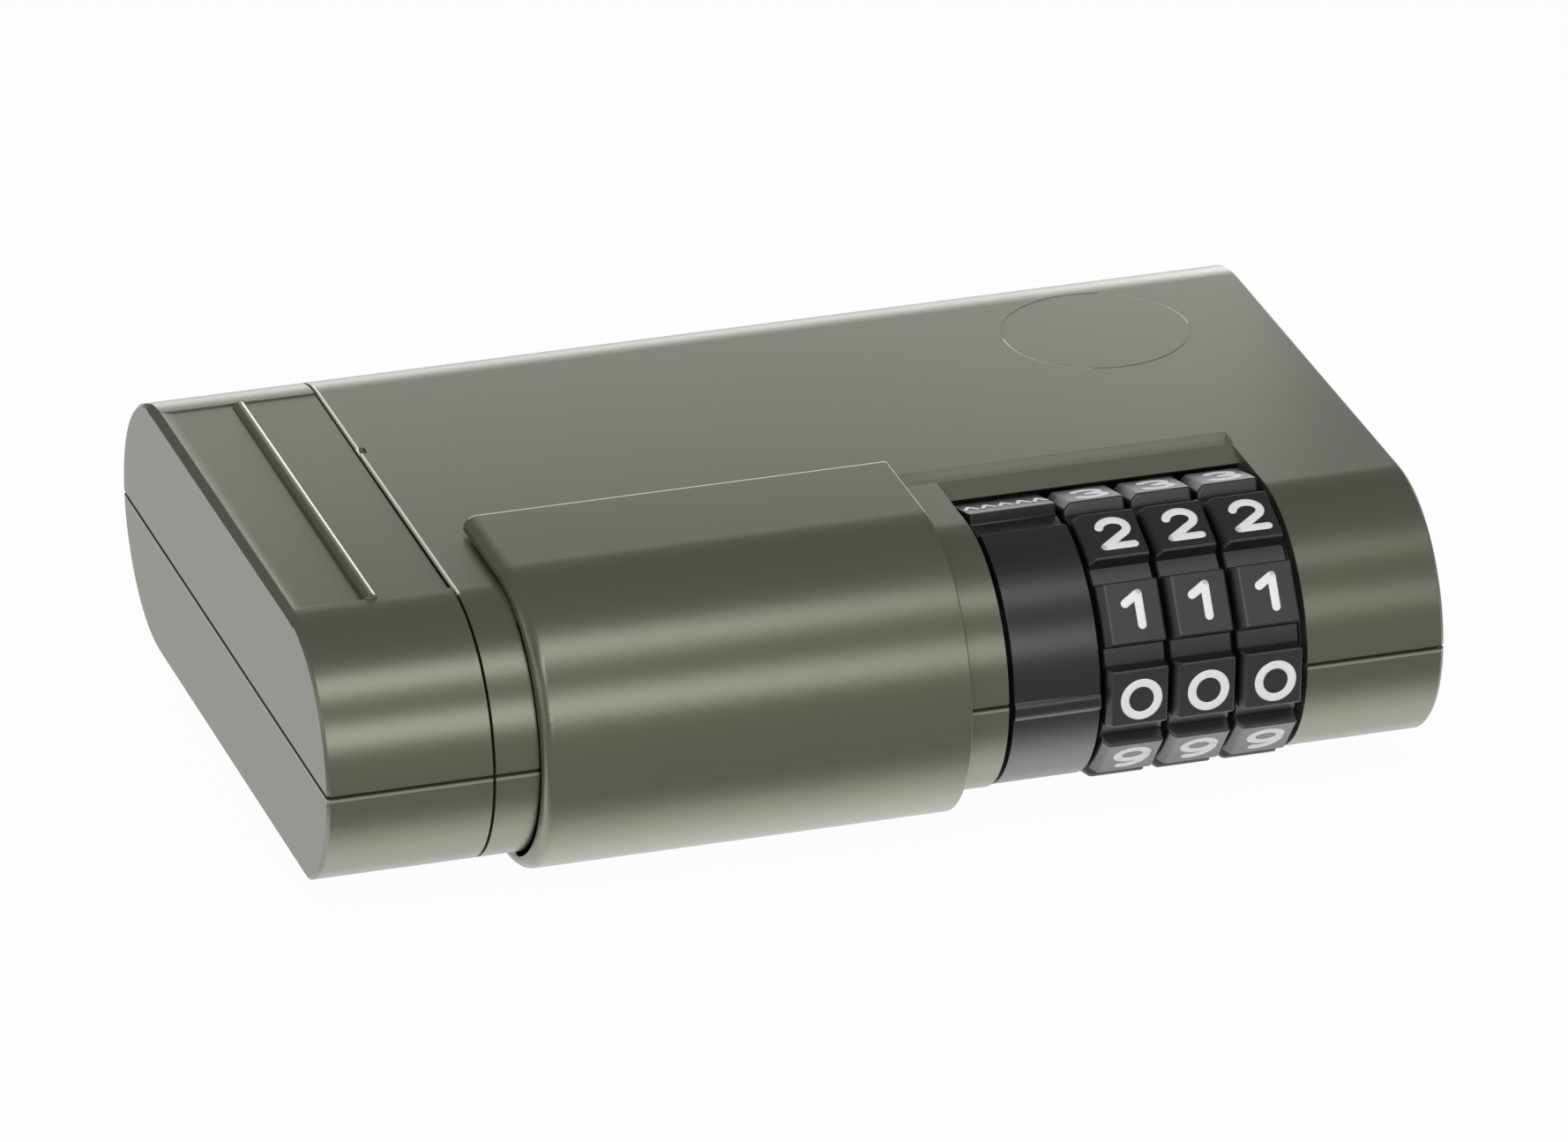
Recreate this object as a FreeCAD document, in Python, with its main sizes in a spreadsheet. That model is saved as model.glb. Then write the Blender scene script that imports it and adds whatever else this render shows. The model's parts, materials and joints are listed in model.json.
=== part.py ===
"""Magnetic key holder box: a key drawer locked by three number wheels, with a sliding wheel cover.

Case frame, used inside every body: X runs from the drawer's end to the far end, Y from the round front
edge to the back, Z up from the case's flat underside. Wheels, hubs, drum, tube and pin are drawn about
their own axle instead. Each body's placement brings it into the part's frame, whose origin lies under
the middle of the box, on the plane that the magnets rest on. All sizes are millimetres and degrees.
"""
import FreeCAD, Part
import math
import os
import Sketcher

SIZES = (
    # case
    ("length", 117.1),            # drawer end to far end
    ("depth", 79.1),              # round front edge to back edge
    ("thickness", 27.0),          # case alone, without magnets and cover
    ("front_bulge", 0.6),         # front edge's radius beyond half the thickness
    ("wall", 2.0),                # shells and drawer head
    ("seam_groove", 0.35),        # height of the shadow groove along the seam
    ("seam_groove_depth", 0.5),
    ("end_bevel", 0.35),          # on the two ends' outer edges
    ("ring_mark_radius", 9.9),    # faint moulded ring on the top
    ("ring_mark_width", 0.25),
    ("ring_mark_depth", 0.12),
    ("ring_mark_inset", 18.7),    # ring's centre to the far end
    ("ring_mark_setback", 23.1),  # ring's centre to the back edge
    ("overshoot", 1.0),           # cuts run this far out of the material
    # drawer
    ("cap_length", 17.4),         # drawer head, to the case's mouth
    ("tick_place", 29.1),         # notch in the mouth's top edge, to the back edge
    ("tick_length", 0.8),
    ("tick_width", 1.4),
    ("tick_depth", 0.3),
    ("mouth_gap", 0.3),           # drawer head to case
    ("panel_land", 0.9),          # land between the drawer's end and the thumb panel
    ("panel_slope", 1.1),         # sloped wall beside that land
    ("panel_depth", 0.5),
    ("panel_setback", 0.5),       # panel's front edge behind the top of the round edge
    ("rib_centre", 8.9),          # grip rib's middle to the drawer's end
    ("rib_width", 1.4),
    ("rib_height", 0.95),         # above the panel
    ("tray_gap", 0.3),            # tray to shell, all round
    ("tray_wall", 1.5),
    ("tray_end", 12.1),           # tray's far end to the case's far end
    ("tray_top_gap", 0.4),        # tray's rim below the seam
    ("bulkhead", 1.7),            # wall at the drawer head's inner side
    ("liner_thickness", 1.2),
    ("liner_gap", 0.4),
    # sliding cover
    ("strip", 4.5),               # case shown between the drawer head and the cover
    ("cover_gap", 0.9),           # case to the cover's inner face
    ("cover_wall", 1.0),
    ("rim_length", 1.2),          # inner rim at the cover's left end
    ("rim_gap", 0.4),             # case to the rim
    ("hook_wall", 1.0),
    ("hook_gap", 0.3),            # hook to the channel's floor and walls
    ("channel_setback", 10.1),    # channel's front side behind the wheel axis
    ("channel_width", 3.0),
    ("channel_depth", 0.9),
    ("cover_round", 0.5),         # rounding of the cover's left outer edge
    # window, wheels and drum
    ("collar", 4.4),              # case shown between the cover and the window
    ("window_inset", 14.6),       # window to the far end
    ("bevel_width", 3.0),         # sloped band above the window
    ("bevel_drop", 1.2),
    ("wheel_gap", 0.6),           # beside each wheel and the drum
    ("drum_length", 9.1),
    ("drum_recess", 0.65),        # drum's surface inside the pads' crests
    ("dial_width", 6.5),
    ("dial_proud", 0.45),         # pads' crests beyond the front edge's radius
    ("dial_tilt", 4.6),           # digits' middle below the level of the axis
    ("dial_clearance", 0.5),      # pads' crests to the window's edges
    ("pad_half_angle", 12.0),
    ("pad_root_half_angle", 14.0),
    ("pad_height", 1.25),
    ("pad_bevel_length", 0.7),    # sloped left end of each pad
    ("pad_bevel_drop", 0.9),
    ("tab_from", 93.0),           # drum's tab, angles up from the front
    ("tab_to", 117.0),
    ("tab_root", 2.0),            # tab and ridge reach below the drum's surface
    ("ridge_from", -8.0),
    ("ridge_to", -1.0),
    ("ridge_height", 0.4),
    ("drum_turn", 36.0),
    # lock
    ("tube_radius", 4.0),
    ("tube_bore", 2.8),
    ("tube_slot", 2.0),
    ("tube_overhang", 1.5),       # tube beyond each cheek
    ("running_gap", 0.05),        # radial, wheels and drum on what they turn on
    ("fin_clearance", 0.3),
    ("pin_radius", 2.6),
    ("pin_flange_radius", 4.2),
    ("pin_flange_length", 1.0),
    ("fin_reach", 5.0),
    ("fin_length", 1.2),
    ("fin_width", 1.6),
    ("hub_radius", 8.0),
    ("hub_gap", 0.1),             # hub to hub, and hub to wheel
    ("tooth_height", 0.8),
    ("tooth_width", 1.6),
    ("groove_width", 2.4),        # hub's inner groove, where the fin stands when locked
    ("cheek", 2.0),
    ("chassis_gap", 0.3),         # chassis to shell
    ("chassis_wall", 1.2),
    ("back_gap", 0.35),           # pads' crests to the chassis's back wall
    ("stop_radius", 10.2),        # drum's stop peg from the axis
    ("stop_peg_radius", 0.9),
    ("stop_peg_length", 1.8),
    ("stop_gap", 0.3),
    ("foot_thickness", 1.5),
    ("foot_length", 5.4),
    ("foot_width", 5.2),
    ("post_height", 3.0),
    ("post_radius", 2.4),
    ("spring_thickness", 0.4),
    ("spring_clearance", 0.3),    # finger to the pads' crests
    ("spring_angle", 41.0),       # finger's contact, up from the back of the axis
    ("spring_finger_width", 3.5),
    ("spring_bump", 0.25),
    ("spring_root", 1.6),         # strip held on the ledge
    ("tube_ring_radius", 6.0),
    ("tube_ring_thickness", 0.8),
    ("tube_ring_opening", 6.5),
    # fasteners
    ("boss_radius", 2.8),
    ("screw_setback", 5.9),       # front screws behind the axis
    ("screw_near_mouth", 8.0),
    ("screw_before_chassis", 15.0),
    ("screw_near_end", 7.0),
    ("screw_back_front", 34.0),   # third screw, from the front edge
    ("screw_back_rear", 16.1),    # hindmost screw, to the back edge
    ("shank_radius", 1.2),
    ("shank_gap", 0.05),
    ("head_radius", 2.2),
    ("head_height", 1.4),
    ("head_gap", 0.2),
    ("case_screw_length", 19.0),
    ("foot_screw_length", 4.0),
    ("pilot_reserve", 1.0),       # pilot holes beyond the screws' tips
    ("head_boss_foot", 1.5),      # drawer's bosses start above its underside
    ("head_screw_place", 8.6),    # drawer's screws to its end
    ("head_screw_front", 22.0),
    ("head_screw_back", 10.7),    # to the back edge
    # magnets
    ("magnet_stand", 4.0),        # magnets' faces below the case's underside
    ("plinth_height", 3.2),
    ("plinth_length", 80.0),
    ("plinth_cover_gap", 2.3),    # plinth to the channel of the sliding cover
    ("plinth_inset", 11.1),       # plinth to the far end
    ("plinth_setback", 7.1),      # plinth to the back edge
    ("plinth_corner", 3.0),
    ("magnet_length", 34.0),
    ("magnet_rim", 2.25),         # plinth's rim in front of and behind the magnets
    ("magnet_space", 4.0),        # between the two magnets
    ("magnet_gap", 0.1),
    ("magnet_corner", 1.0),
    ("keeper_thickness", 1.0),
    ("keeper_top", 1.2),          # above the case's underside
)

WHEELS = 3
DIGITS = 10
STEP = 360 // DIGITS

AXIS_Y = "(Sizes.thickness / 2 + Sizes.front_bulge)"
FRONT_RADIUS = AXIS_Y
AXIS_Z = "(Sizes.thickness / 2 - Sizes.front_bulge)"
BACK_RADIUS = "(Sizes.thickness / 2)"
BACK_Y = "(Sizes.depth - Sizes.thickness / 2)"
COVER_PROUD = "(Sizes.cover_gap + Sizes.cover_wall)"
PITCH = "(Sizes.dial_width + Sizes.wheel_gap)"
WINDOW_RIGHT = "(Sizes.length - Sizes.window_inset)"
FIRST_DIAL = f"({WINDOW_RIGHT} - {WHEELS} * {PITCH})"
DRUM_LEFT = f"({FIRST_DIAL} - Sizes.wheel_gap - Sizes.drum_length)"
WINDOW_LEFT = f"({DRUM_LEFT} - Sizes.wheel_gap)"
COVER_LEFT = "(Sizes.cap_length + Sizes.strip)"
COVER_RIGHT = f"({WINDOW_LEFT} - Sizes.collar)"
CREST = f"({FRONT_RADIUS} + Sizes.dial_proud)"
SWEEP = f"({CREST} + Sizes.dial_clearance)"
CHANNEL_FRONT = f"({AXIS_Y} + Sizes.channel_setback)"
CHANNEL_BACK = f"({CHANNEL_FRONT} + Sizes.channel_width)"
CHASSIS_FRONT = f"({AXIS_Y} + {CREST} + Sizes.back_gap)"
CHASSIS_BACK = f"({CHASSIS_FRONT} + Sizes.chassis_wall)"
TRAY_FRONT = f"({CHASSIS_BACK} + Sizes.tray_gap)"
TRAY_FLOOR = "(Sizes.wall + Sizes.tray_gap)"
TRAY_RIGHT = "(Sizes.length - Sizes.tray_end)"
CAP_RIGHT = "(Sizes.cap_length - Sizes.mouth_gap)"
FRONT_SCREW_Y = f"({AXIS_Y} + Sizes.screw_setback)"
PLINTH_LEFT = "(Sizes.length - Sizes.plinth_inset - Sizes.plinth_length)"
PLINTH_FRONT = f"({CHANNEL_BACK} + Sizes.plinth_cover_gap)"
PLINTH_WIDTH = f"(Sizes.depth - Sizes.plinth_setback - {PLINTH_FRONT})"
MAGNET_WIDTH = f"({PLINTH_WIDTH} - 2 * Sizes.magnet_rim)"
MAGNETS_LEFT = (f"({PLINTH_LEFT} + (Sizes.plinth_length - 2 * Sizes.magnet_length"
                " - Sizes.magnet_space) / 2)")
MAGNETS_FRONT = f"({PLINTH_FRONT} + Sizes.magnet_rim)"
KEEPER_BOTTOM = "(Sizes.keeper_top - Sizes.keeper_thickness)"
HUB_LENGTH = f"({PITCH} - Sizes.hub_gap)"
HUB_START = f"(-({HUB_LENGTH} - Sizes.dial_width) / 2)"
FIN_ROOM = "(Sizes.fin_reach + Sizes.fin_clearance)"
TUBE_LEFT = f"({WINDOW_LEFT} - Sizes.cheek - Sizes.tube_overhang)"
TUBE_RIGHT = f"({WINDOW_RIGHT} + Sizes.cheek + Sizes.tube_overhang)"
LAST_FIN = f"({FIRST_DIAL} + {WHEELS - 1} * {PITCH} + Sizes.dial_width / 2)"

PARTITION_LENGTH = f"({WINDOW_LEFT} - Sizes.cheek - Sizes.chassis_gap - Sizes.cap_length - Sizes.wall)"
BULKHEAD_LEFT = f"({CAP_RIGHT} - Sizes.bulkhead)"
SHANK_HOLE = "(Sizes.shank_radius + Sizes.head_gap)"
HEAD_HOLE = "(Sizes.head_radius + Sizes.head_gap)"
PILOT = "(Sizes.shank_radius + Sizes.shank_gap)"
PILOT_TOP = "(Sizes.case_screw_length + Sizes.head_height + Sizes.pilot_reserve)"
NEAR = 0.01

CASE_SCREWS = (
    ("Sizes.cap_length + Sizes.screw_near_mouth", FRONT_SCREW_Y),
    (f"{WINDOW_LEFT} - Sizes.cheek - Sizes.screw_before_chassis", FRONT_SCREW_Y),
    ("Sizes.length - Sizes.screw_near_end", "Sizes.screw_back_front"),
    ("Sizes.length - Sizes.screw_near_end", "Sizes.depth - Sizes.screw_back_rear"),
)
HEAD_SCREWS = (
    ("Sizes.head_screw_place", "Sizes.head_screw_front"),
    ("Sizes.head_screw_place", "Sizes.depth - Sizes.head_screw_back"),
)
FOOT_SCREWS = (
    (f"{WINDOW_LEFT} - Sizes.cheek - Sizes.foot_length / 2", FRONT_SCREW_Y),
    (f"{WINDOW_RIGHT} + Sizes.cheek + Sizes.foot_length / 2", FRONT_SCREW_Y),
)

doc = FreeCAD.newDocument("MagneticKeyBox")
sheet = doc.addObject("Spreadsheet::Sheet", "Sizes")
for row, (alias, value) in enumerate(SIZES, start=1):
    sheet.set(f"A{row}", alias)
    sheet.set(f"B{row}", str(value))
    sheet.setAlias(f"B{row}", alias)
doc.recompute()
pieces = []


# ---------------------------------------------------------------- helpers

def number(expression):
    """The value of an expression over the size sheet."""
    value = sheet.evalExpression(expression)
    return float(getattr(value, "Value", value))


def polar(radius, angle):
    """A point of a wheel's section: the angle counts up from the front, seen from the drawer's side."""
    return f"-({radius}) * cos({angle})", f"({radius}) * sin({angle})"


def new_body(label, x="0", y="0", z="0"):
    """An empty body whose own origin lies at x, y, z of the case frame."""
    body = doc.addObject("PartDesign::Body", label)
    body.Label = label
    body.setExpression("Placement.Base.x", f"{x} - Sizes.length / 2")
    body.setExpression("Placement.Base.y", f"{y} - (Sizes.depth - {COVER_PROUD}) / 2")
    body.setExpression("Placement.Base.z", f"{z} + Sizes.magnet_stand")
    pieces.append(body)
    return body


def axle_body(label, x="0"):
    """An empty body whose X axis is the wheels' axis."""
    return new_body(label, x, AXIS_Y, AXIS_Z)


def new_sketch(body, name, role, offset="0"):
    """An empty sketch on one of the body's own planes, moved along that plane's normal."""
    plane = next(feature for feature in body.Origin.OriginFeatures if feature.Role == role)
    sketch = body.newObject("Sketcher::SketchObject", name)
    sketch.AttachmentSupport = (plane, [""])
    sketch.MapMode = "FlatFace"
    sketch.setExpression("AttachmentOffset.Base.z", offset)
    return sketch


def bind(sketch, kind, *where, expression):
    """A dimension whose value follows an expression."""
    index = sketch.addConstraint(Sketcher.Constraint(kind, *where, number(expression)))
    sketch.setExpression(f"Constraints[{index}]", expression)


def minor_arc(start, end, radius, turn):
    """The arc from start to end; turn is 1 when it runs counter-clockwise and -1 when clockwise."""
    chord = end - start
    height = math.sqrt(max(radius ** 2 - (chord.Length / 2) ** 2, 0))
    left = FreeCAD.Vector(-chord.y, chord.x, 0).normalize()
    centre = start + chord / 2 + left * height * turn
    first, last = (start, end) if turn > 0 else (end, start)
    angles = [math.atan2(point.y - centre.y, point.x - centre.x) for point in (first, last)]
    circle = Part.Circle(centre, FreeCAD.Vector(0, 0, 1), radius)
    return Part.ArcOfCircle(circle, *angles)


def outline(sketch, corners):
    """A closed outline. Each corner is (u, v), or (u, v, radius, turn) when an arc leads to it."""
    points = [FreeCAD.Vector(number(corner[0]), number(corner[1]), 0) for corner in corners]
    sides = []
    for index, corner in enumerate(corners):
        start = points[index - 1]
        end = points[index]
        if len(corner) == 2:
            side = sketch.addGeometry(Part.LineSegment(start, end))
            sides.append((side, 1, 2))
            continue
        radius, turn = corner[2:]
        side = sketch.addGeometry(minor_arc(start, end, number(radius), turn))
        bind(sketch, "Radius", side, expression=radius)
        sides.append((side, 1, 2) if turn > 0 else (side, 2, 1))
    for index, corner in enumerate(corners):
        side, _, end = sides[index]
        following, start, _ = sides[(index + 1) % len(corners)]
        sketch.addConstraint(Sketcher.Constraint("Coincident", side, end, following, start))
        bind(sketch, "DistanceX", -1, 1, side, end, expression=corner[0])
        bind(sketch, "DistanceY", -1, 1, side, end, expression=corner[1])


def box_outline(sketch, left, right, low, high):
    """A rectangle between four expressions."""
    outline(sketch, [(left, low), (right, low), (right, high), (left, high)])


def circle(sketch, radius, u="0", v="0"):
    """A circle about u, v."""
    centre = FreeCAD.Vector(number(u), number(v), 0)
    ring = sketch.addGeometry(Part.Circle(centre, FreeCAD.Vector(0, 0, 1), number(radius)))
    bind(sketch, "Radius", ring, expression=radius)
    bind(sketch, "DistanceX", -1, 1, ring, 3, expression=u)
    bind(sketch, "DistanceY", -1, 1, ring, 3, expression=v)


def settle(feature, body, grows):
    """Recompute, make the feature the body's tip and make sure that it added or removed material."""
    before = body.Shape.Volume if body.Tip and not body.Shape.isNull() else 0.0
    body.Tip = feature
    doc.recompute()
    change = body.Shape.Volume - before
    if (change > 0) != grows or change == 0:
        raise RuntimeError(f"{body.Label}.{feature.Name} changed the volume by {change:.3f}")
    return feature


def pad(body, sketch, length, back=False):
    """Material from the sketch along its normal, or against it."""
    feature = body.newObject("PartDesign::Pad", f"{sketch.Name}_pad")
    feature.Profile = sketch
    feature.setExpression("Length", length)
    feature.Reversed = back
    return settle(feature, body, grows=True)


def pocket(body, sketch, length, back=False):
    """A cut from the sketch along its normal, or against it."""
    feature = body.newObject("PartDesign::Pocket", f"{sketch.Name}_cut")
    feature.Profile = sketch
    feature.setExpression("Length", length)
    feature.Reversed = not back
    return settle(feature, body, grows=False)


def turned_cut(body, sketch):
    """A cut turned about the body's X axis, from a sketch on its XY plane."""
    feature = body.newObject("PartDesign::Groove", f"{sketch.Name}_groove")
    feature.Profile = sketch
    feature.ReferenceAxis = (sketch, ["H_Axis"])
    feature.Angle = 360
    return settle(feature, body, grows=False)


def around(body, feature, count, grows):
    """The feature repeated around the body's X axis."""
    axis = next(item for item in body.Origin.OriginFeatures if item.Role == "X_Axis")
    pattern = body.newObject("PartDesign::PolarPattern", f"{feature.Name}_ring")
    pattern.Originals = [feature]
    pattern.Axis = (axis, [""])
    pattern.Angle = 360
    pattern.Occurrences = count
    return settle(pattern, body, grows)


def along(body, feature, count, pitch):
    """The feature repeated along the body's X axis."""
    axis = next(item for item in body.Origin.OriginFeatures if item.Role == "X_Axis")
    pattern = body.newObject("PartDesign::LinearPattern", f"{feature.Name}_row")
    pattern.Originals = [feature]
    pattern.Direction = (axis, [""])
    pattern.setExpression("Length", f"{pitch} * {count - 1}")
    pattern.Occurrences = count
    return settle(pattern, body, grows=True)


def dress_edges(body, kind, size, chosen):
    """Fillet or chamfer those edges of the body's tip for which chosen(edge) is true."""
    tip = body.Tip
    names = [f"Edge{index}" for index, edge in enumerate(tip.Shape.Edges, start=1) if chosen(edge)]
    feature = body.newObject(f"PartDesign::{kind}", f"{body.Name}_{kind.lower()}")
    feature.Base = (tip, names)
    feature.setExpression("Radius" if kind == "Fillet" else "Size", size)
    return settle(feature, body, grows=False)


def lies_at_x(edge, x):
    """Whether the whole edge lies in the plane at x."""
    box = edge.BoundBox
    return abs(box.XMin - x) < NEAR and abs(box.XMax - x) < NEAR


# ---------------------------------------------------------------- shared outlines

def upper_outline(inset="0"):
    """The section above the seam, inside the case's outer face by the inset."""
    front = f"({FRONT_RADIUS} - ({inset}))"
    back = f"({BACK_RADIUS} - ({inset}))"
    back_seam = f"{BACK_Y} + sqrt({back}^2 - Sizes.front_bulge^2)"
    return [
        (back_seam, AXIS_Z),
        (BACK_Y, f"Sizes.thickness - ({inset})", back, 1),
        (AXIS_Y, f"Sizes.thickness - ({inset})"),
        (inset, AXIS_Z, front, 1),
    ]


def lower_outline(inset="0"):
    """The section below the seam, inside the case's outer face by the inset."""
    front = f"({FRONT_RADIUS} - ({inset}))"
    back = f"({BACK_RADIUS} - ({inset}))"
    back_seam = f"{BACK_Y} + sqrt({back}^2 - Sizes.front_bulge^2)"
    bottom_front = f"{AXIS_Y} - sqrt({front}^2 - ({AXIS_Z} - ({inset}))^2)"
    return [
        (inset, AXIS_Z),
        (bottom_front, inset, front, 1),
        (BACK_Y, inset),
        (back_seam, AXIS_Z, back, 1),
    ]


def bevel_end(body, end, above):
    """A small bevel around the flat end at x, above or below the seam; the seam's own edge stays sharp."""
    end_x = number(end)
    seam_z = number(AXIS_Z)

    def on_end(edge):
        """Whether the edge bounds the end and leaves the seam's level."""
        away = edge.BoundBox.ZMax - seam_z if above else seam_z - edge.BoundBox.ZMin
        return lies_at_x(edge, end_x) and away > NEAR

    dress_edges(body, "Chamfer", "Sizes.end_bevel", on_end)


def seam_groove(body, name, outside, inside, mouth):
    """The shadow groove along the seam: front, back and the end between outside and inside."""
    groove = new_sketch(body, name, "XY_Plane", f"{AXIS_Z} - Sizes.seam_groove")
    back_edge = f"{BACK_Y} + sqrt({BACK_RADIUS}^2 - Sizes.front_bulge^2)"
    outline(groove, [
        (outside, "-Sizes.overshoot"),
        (mouth, "-Sizes.overshoot"),
        (mouth, "Sizes.seam_groove_depth"),
        (inside, "Sizes.seam_groove_depth"),
        (inside, f"{back_edge} - Sizes.seam_groove_depth"),
        (mouth, f"{back_edge} - Sizes.seam_groove_depth"),
        (mouth, "Sizes.depth + Sizes.overshoot"),
        (outside, "Sizes.depth + Sizes.overshoot"),
    ])
    pocket(body, groove, "Sizes.seam_groove + Sizes.overshoot")


def section(body, name, x, corners):
    """A sketch of a case section at x."""
    sketch = new_sketch(body, name, "YZ_Plane", x)
    outline(sketch, corners)
    return sketch


def circles(body, name, level, radius, places):
    """A flat sketch at a level with a circle at each place."""
    sketch = new_sketch(body, name, "XY_Plane", level)
    for x, y in places:
        circle(sketch, radius, x, y)
    return sketch


# ---------------------------------------------------------------- case

def upper_shell():
    body = new_body("upper_shell")
    length = "Sizes.length - Sizes.cap_length"
    pad(body, section(body, "upper_outer", "Sizes.cap_length", upper_outline()), length)
    bevel_end(body, "Sizes.length", above=True)
    cavity = section(body, "upper_cavity", "Sizes.cap_length", upper_outline("Sizes.wall"))
    pocket(body, cavity, f"{length} - Sizes.wall")

    roof = "Sizes.thickness - Sizes.wall / 2"
    partition = new_sketch(body, "upper_partition", "YZ_Plane", "Sizes.cap_length + Sizes.wall")
    box_outline(partition, CHASSIS_FRONT, CHASSIS_BACK, AXIS_Z, roof)
    pad(body, partition, PARTITION_LENGTH)
    bosses = circles(body, "upper_bosses", AXIS_Z, "Sizes.boss_radius", CASE_SCREWS)
    pad(body, bosses, f"{roof} - {AXIS_Z}")
    pilots = circles(body, "upper_pilots", AXIS_Z, PILOT, CASE_SCREWS)
    pocket(body, pilots, f"{PILOT_TOP} - {AXIS_Z}")

    sweep = new_sketch(body, "upper_window", "YZ_Plane", WINDOW_LEFT)
    circle(sweep, SWEEP, AXIS_Y, AXIS_Z)
    pocket(body, sweep, f"{WINDOW_RIGHT} - {WINDOW_LEFT}")
    bevel = new_sketch(body, "window_bevel", "YZ_Plane", WINDOW_LEFT)
    bevel_foot = f"{CHANNEL_FRONT} - Sizes.bevel_width"
    outline(bevel, [
        (AXIS_Y, "Sizes.thickness - Sizes.bevel_drop"),
        (bevel_foot, "Sizes.thickness - Sizes.bevel_drop"),
        (CHANNEL_FRONT, "Sizes.thickness"),
        (CHANNEL_FRONT, "Sizes.thickness + Sizes.overshoot"),
        (AXIS_Y, "Sizes.thickness + Sizes.overshoot"),
    ])
    pocket(body, bevel, f"{WINDOW_RIGHT} - {WINDOW_LEFT}")
    channel(body, "upper_channel", "Sizes.thickness - Sizes.channel_depth",
            "Sizes.thickness + Sizes.overshoot")

    tick = new_sketch(body, "mouth_tick", "XY_Plane", "Sizes.thickness - Sizes.tick_depth")
    box_outline(tick, "Sizes.cap_length - Sizes.overshoot", "Sizes.cap_length + Sizes.tick_length",
                "Sizes.depth - Sizes.tick_place - Sizes.tick_width / 2",
                "Sizes.depth - Sizes.tick_place + Sizes.tick_width / 2")
    pocket(body, tick, "Sizes.overshoot")

    mark = new_sketch(body, "ring_mark", "XY_Plane", "Sizes.thickness - Sizes.ring_mark_depth")
    place = ("Sizes.length - Sizes.ring_mark_inset", "Sizes.depth - Sizes.ring_mark_setback")
    circle(mark, "Sizes.ring_mark_radius", *place)
    circle(mark, "Sizes.ring_mark_radius - Sizes.ring_mark_width", *place)
    pocket(body, mark, "Sizes.overshoot")


def channel(body, name, low, high):
    """The channel that guides the cover's hook, in the top or the underside of the case."""
    sketch = new_sketch(body, name, "YZ_Plane", f"{COVER_LEFT} + Sizes.hook_gap")
    box_outline(sketch, CHANNEL_FRONT, CHANNEL_BACK, low, high)
    pocket(body, sketch, f"{WINDOW_RIGHT} - {COVER_LEFT}")


def lower_shell():
    body = new_body("lower_shell")
    length = "Sizes.length - Sizes.cap_length"
    pad(body, section(body, "lower_outer", "Sizes.cap_length", lower_outline()), length)
    bevel_end(body, "Sizes.length", above=False)
    seam_groove(body, "case_seam_groove", "Sizes.length + Sizes.overshoot",
                "Sizes.length - Sizes.seam_groove_depth", "Sizes.cap_length - Sizes.overshoot")
    cavity = section(body, "lower_cavity", "Sizes.cap_length", lower_outline("Sizes.wall"))
    pocket(body, cavity, f"{length} - Sizes.wall")

    floor = "Sizes.wall / 2"
    partition = new_sketch(body, "lower_partition", "YZ_Plane", "Sizes.cap_length + Sizes.wall")
    box_outline(partition, CHASSIS_FRONT, CHASSIS_BACK, floor, AXIS_Z)
    pad(body, partition, PARTITION_LENGTH)
    bosses = circles(body, "lower_bosses", floor, "Sizes.boss_radius", CASE_SCREWS)
    pad(body, bosses, f"{AXIS_Z} - {floor}")
    posts = circles(body, "chassis_posts", floor, "Sizes.post_radius", FOOT_SCREWS)
    pad(body, posts, f"Sizes.wall + Sizes.post_height - {floor}")

    sweep = new_sketch(body, "lower_window", "YZ_Plane", WINDOW_LEFT)
    circle(sweep, SWEEP, AXIS_Y, AXIS_Z)
    pocket(body, sweep, f"{WINDOW_RIGHT} - {WINDOW_LEFT}")
    channel(body, "lower_channel", "-Sizes.overshoot", "Sizes.channel_depth")

    plinth = new_sketch(body, "plinth", "XY_Plane", "-Sizes.plinth_height")
    rounded_box(plinth, PLINTH_LEFT, PLINTH_FRONT, "Sizes.plinth_length", PLINTH_WIDTH,
                "Sizes.plinth_corner")
    pad(body, plinth, f"Sizes.plinth_height + {floor}")
    seat = new_sketch(body, "magnet_seat", "XY_Plane", "-Sizes.plinth_height")
    box_outline(seat, f"{MAGNETS_LEFT} - Sizes.magnet_gap",
                f"{MAGNETS_LEFT} + 2 * Sizes.magnet_length + Sizes.magnet_space + Sizes.magnet_gap",
                f"{MAGNETS_FRONT} - Sizes.magnet_gap",
                f"{MAGNETS_FRONT} + {MAGNET_WIDTH} + Sizes.magnet_gap")
    pocket(body, seat, f"Sizes.plinth_height + {KEEPER_BOTTOM} + Sizes.keeper_thickness")

    holes = circles(body, "case_screw_holes", "-Sizes.overshoot", SHANK_HOLE, CASE_SCREWS)
    pocket(body, holes, "Sizes.thickness")
    sinks = circles(body, "case_screw_sinks", "-Sizes.overshoot", HEAD_HOLE, CASE_SCREWS)
    pocket(body, sinks, "Sizes.head_height + Sizes.head_gap + Sizes.overshoot")
    pilot_floor = f"{floor} + Sizes.head_gap"
    pilots = circles(body, "post_pilots", pilot_floor, PILOT, FOOT_SCREWS)
    pocket(body, pilots, "Sizes.wall + Sizes.post_height")


def rounded_box(sketch, left, front, length, width, corner):
    """A rectangle with rounded corners."""
    right = f"({left} + {length})"
    back = f"({front} + {width})"
    outline(sketch, [
        (f"{right} - {corner}", front),
        (right, f"{front} + {corner}", corner, 1),
        (right, f"{back} - {corner}"),
        (f"{right} - {corner}", back, corner, 1),
        (f"{left} + {corner}", back),
        (left, f"{back} - {corner}", corner, 1),
        (left, f"{front} + {corner}"),
        (f"{left} + {corner}", front, corner, 1),
    ])


# ---------------------------------------------------------------- drawer

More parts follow.
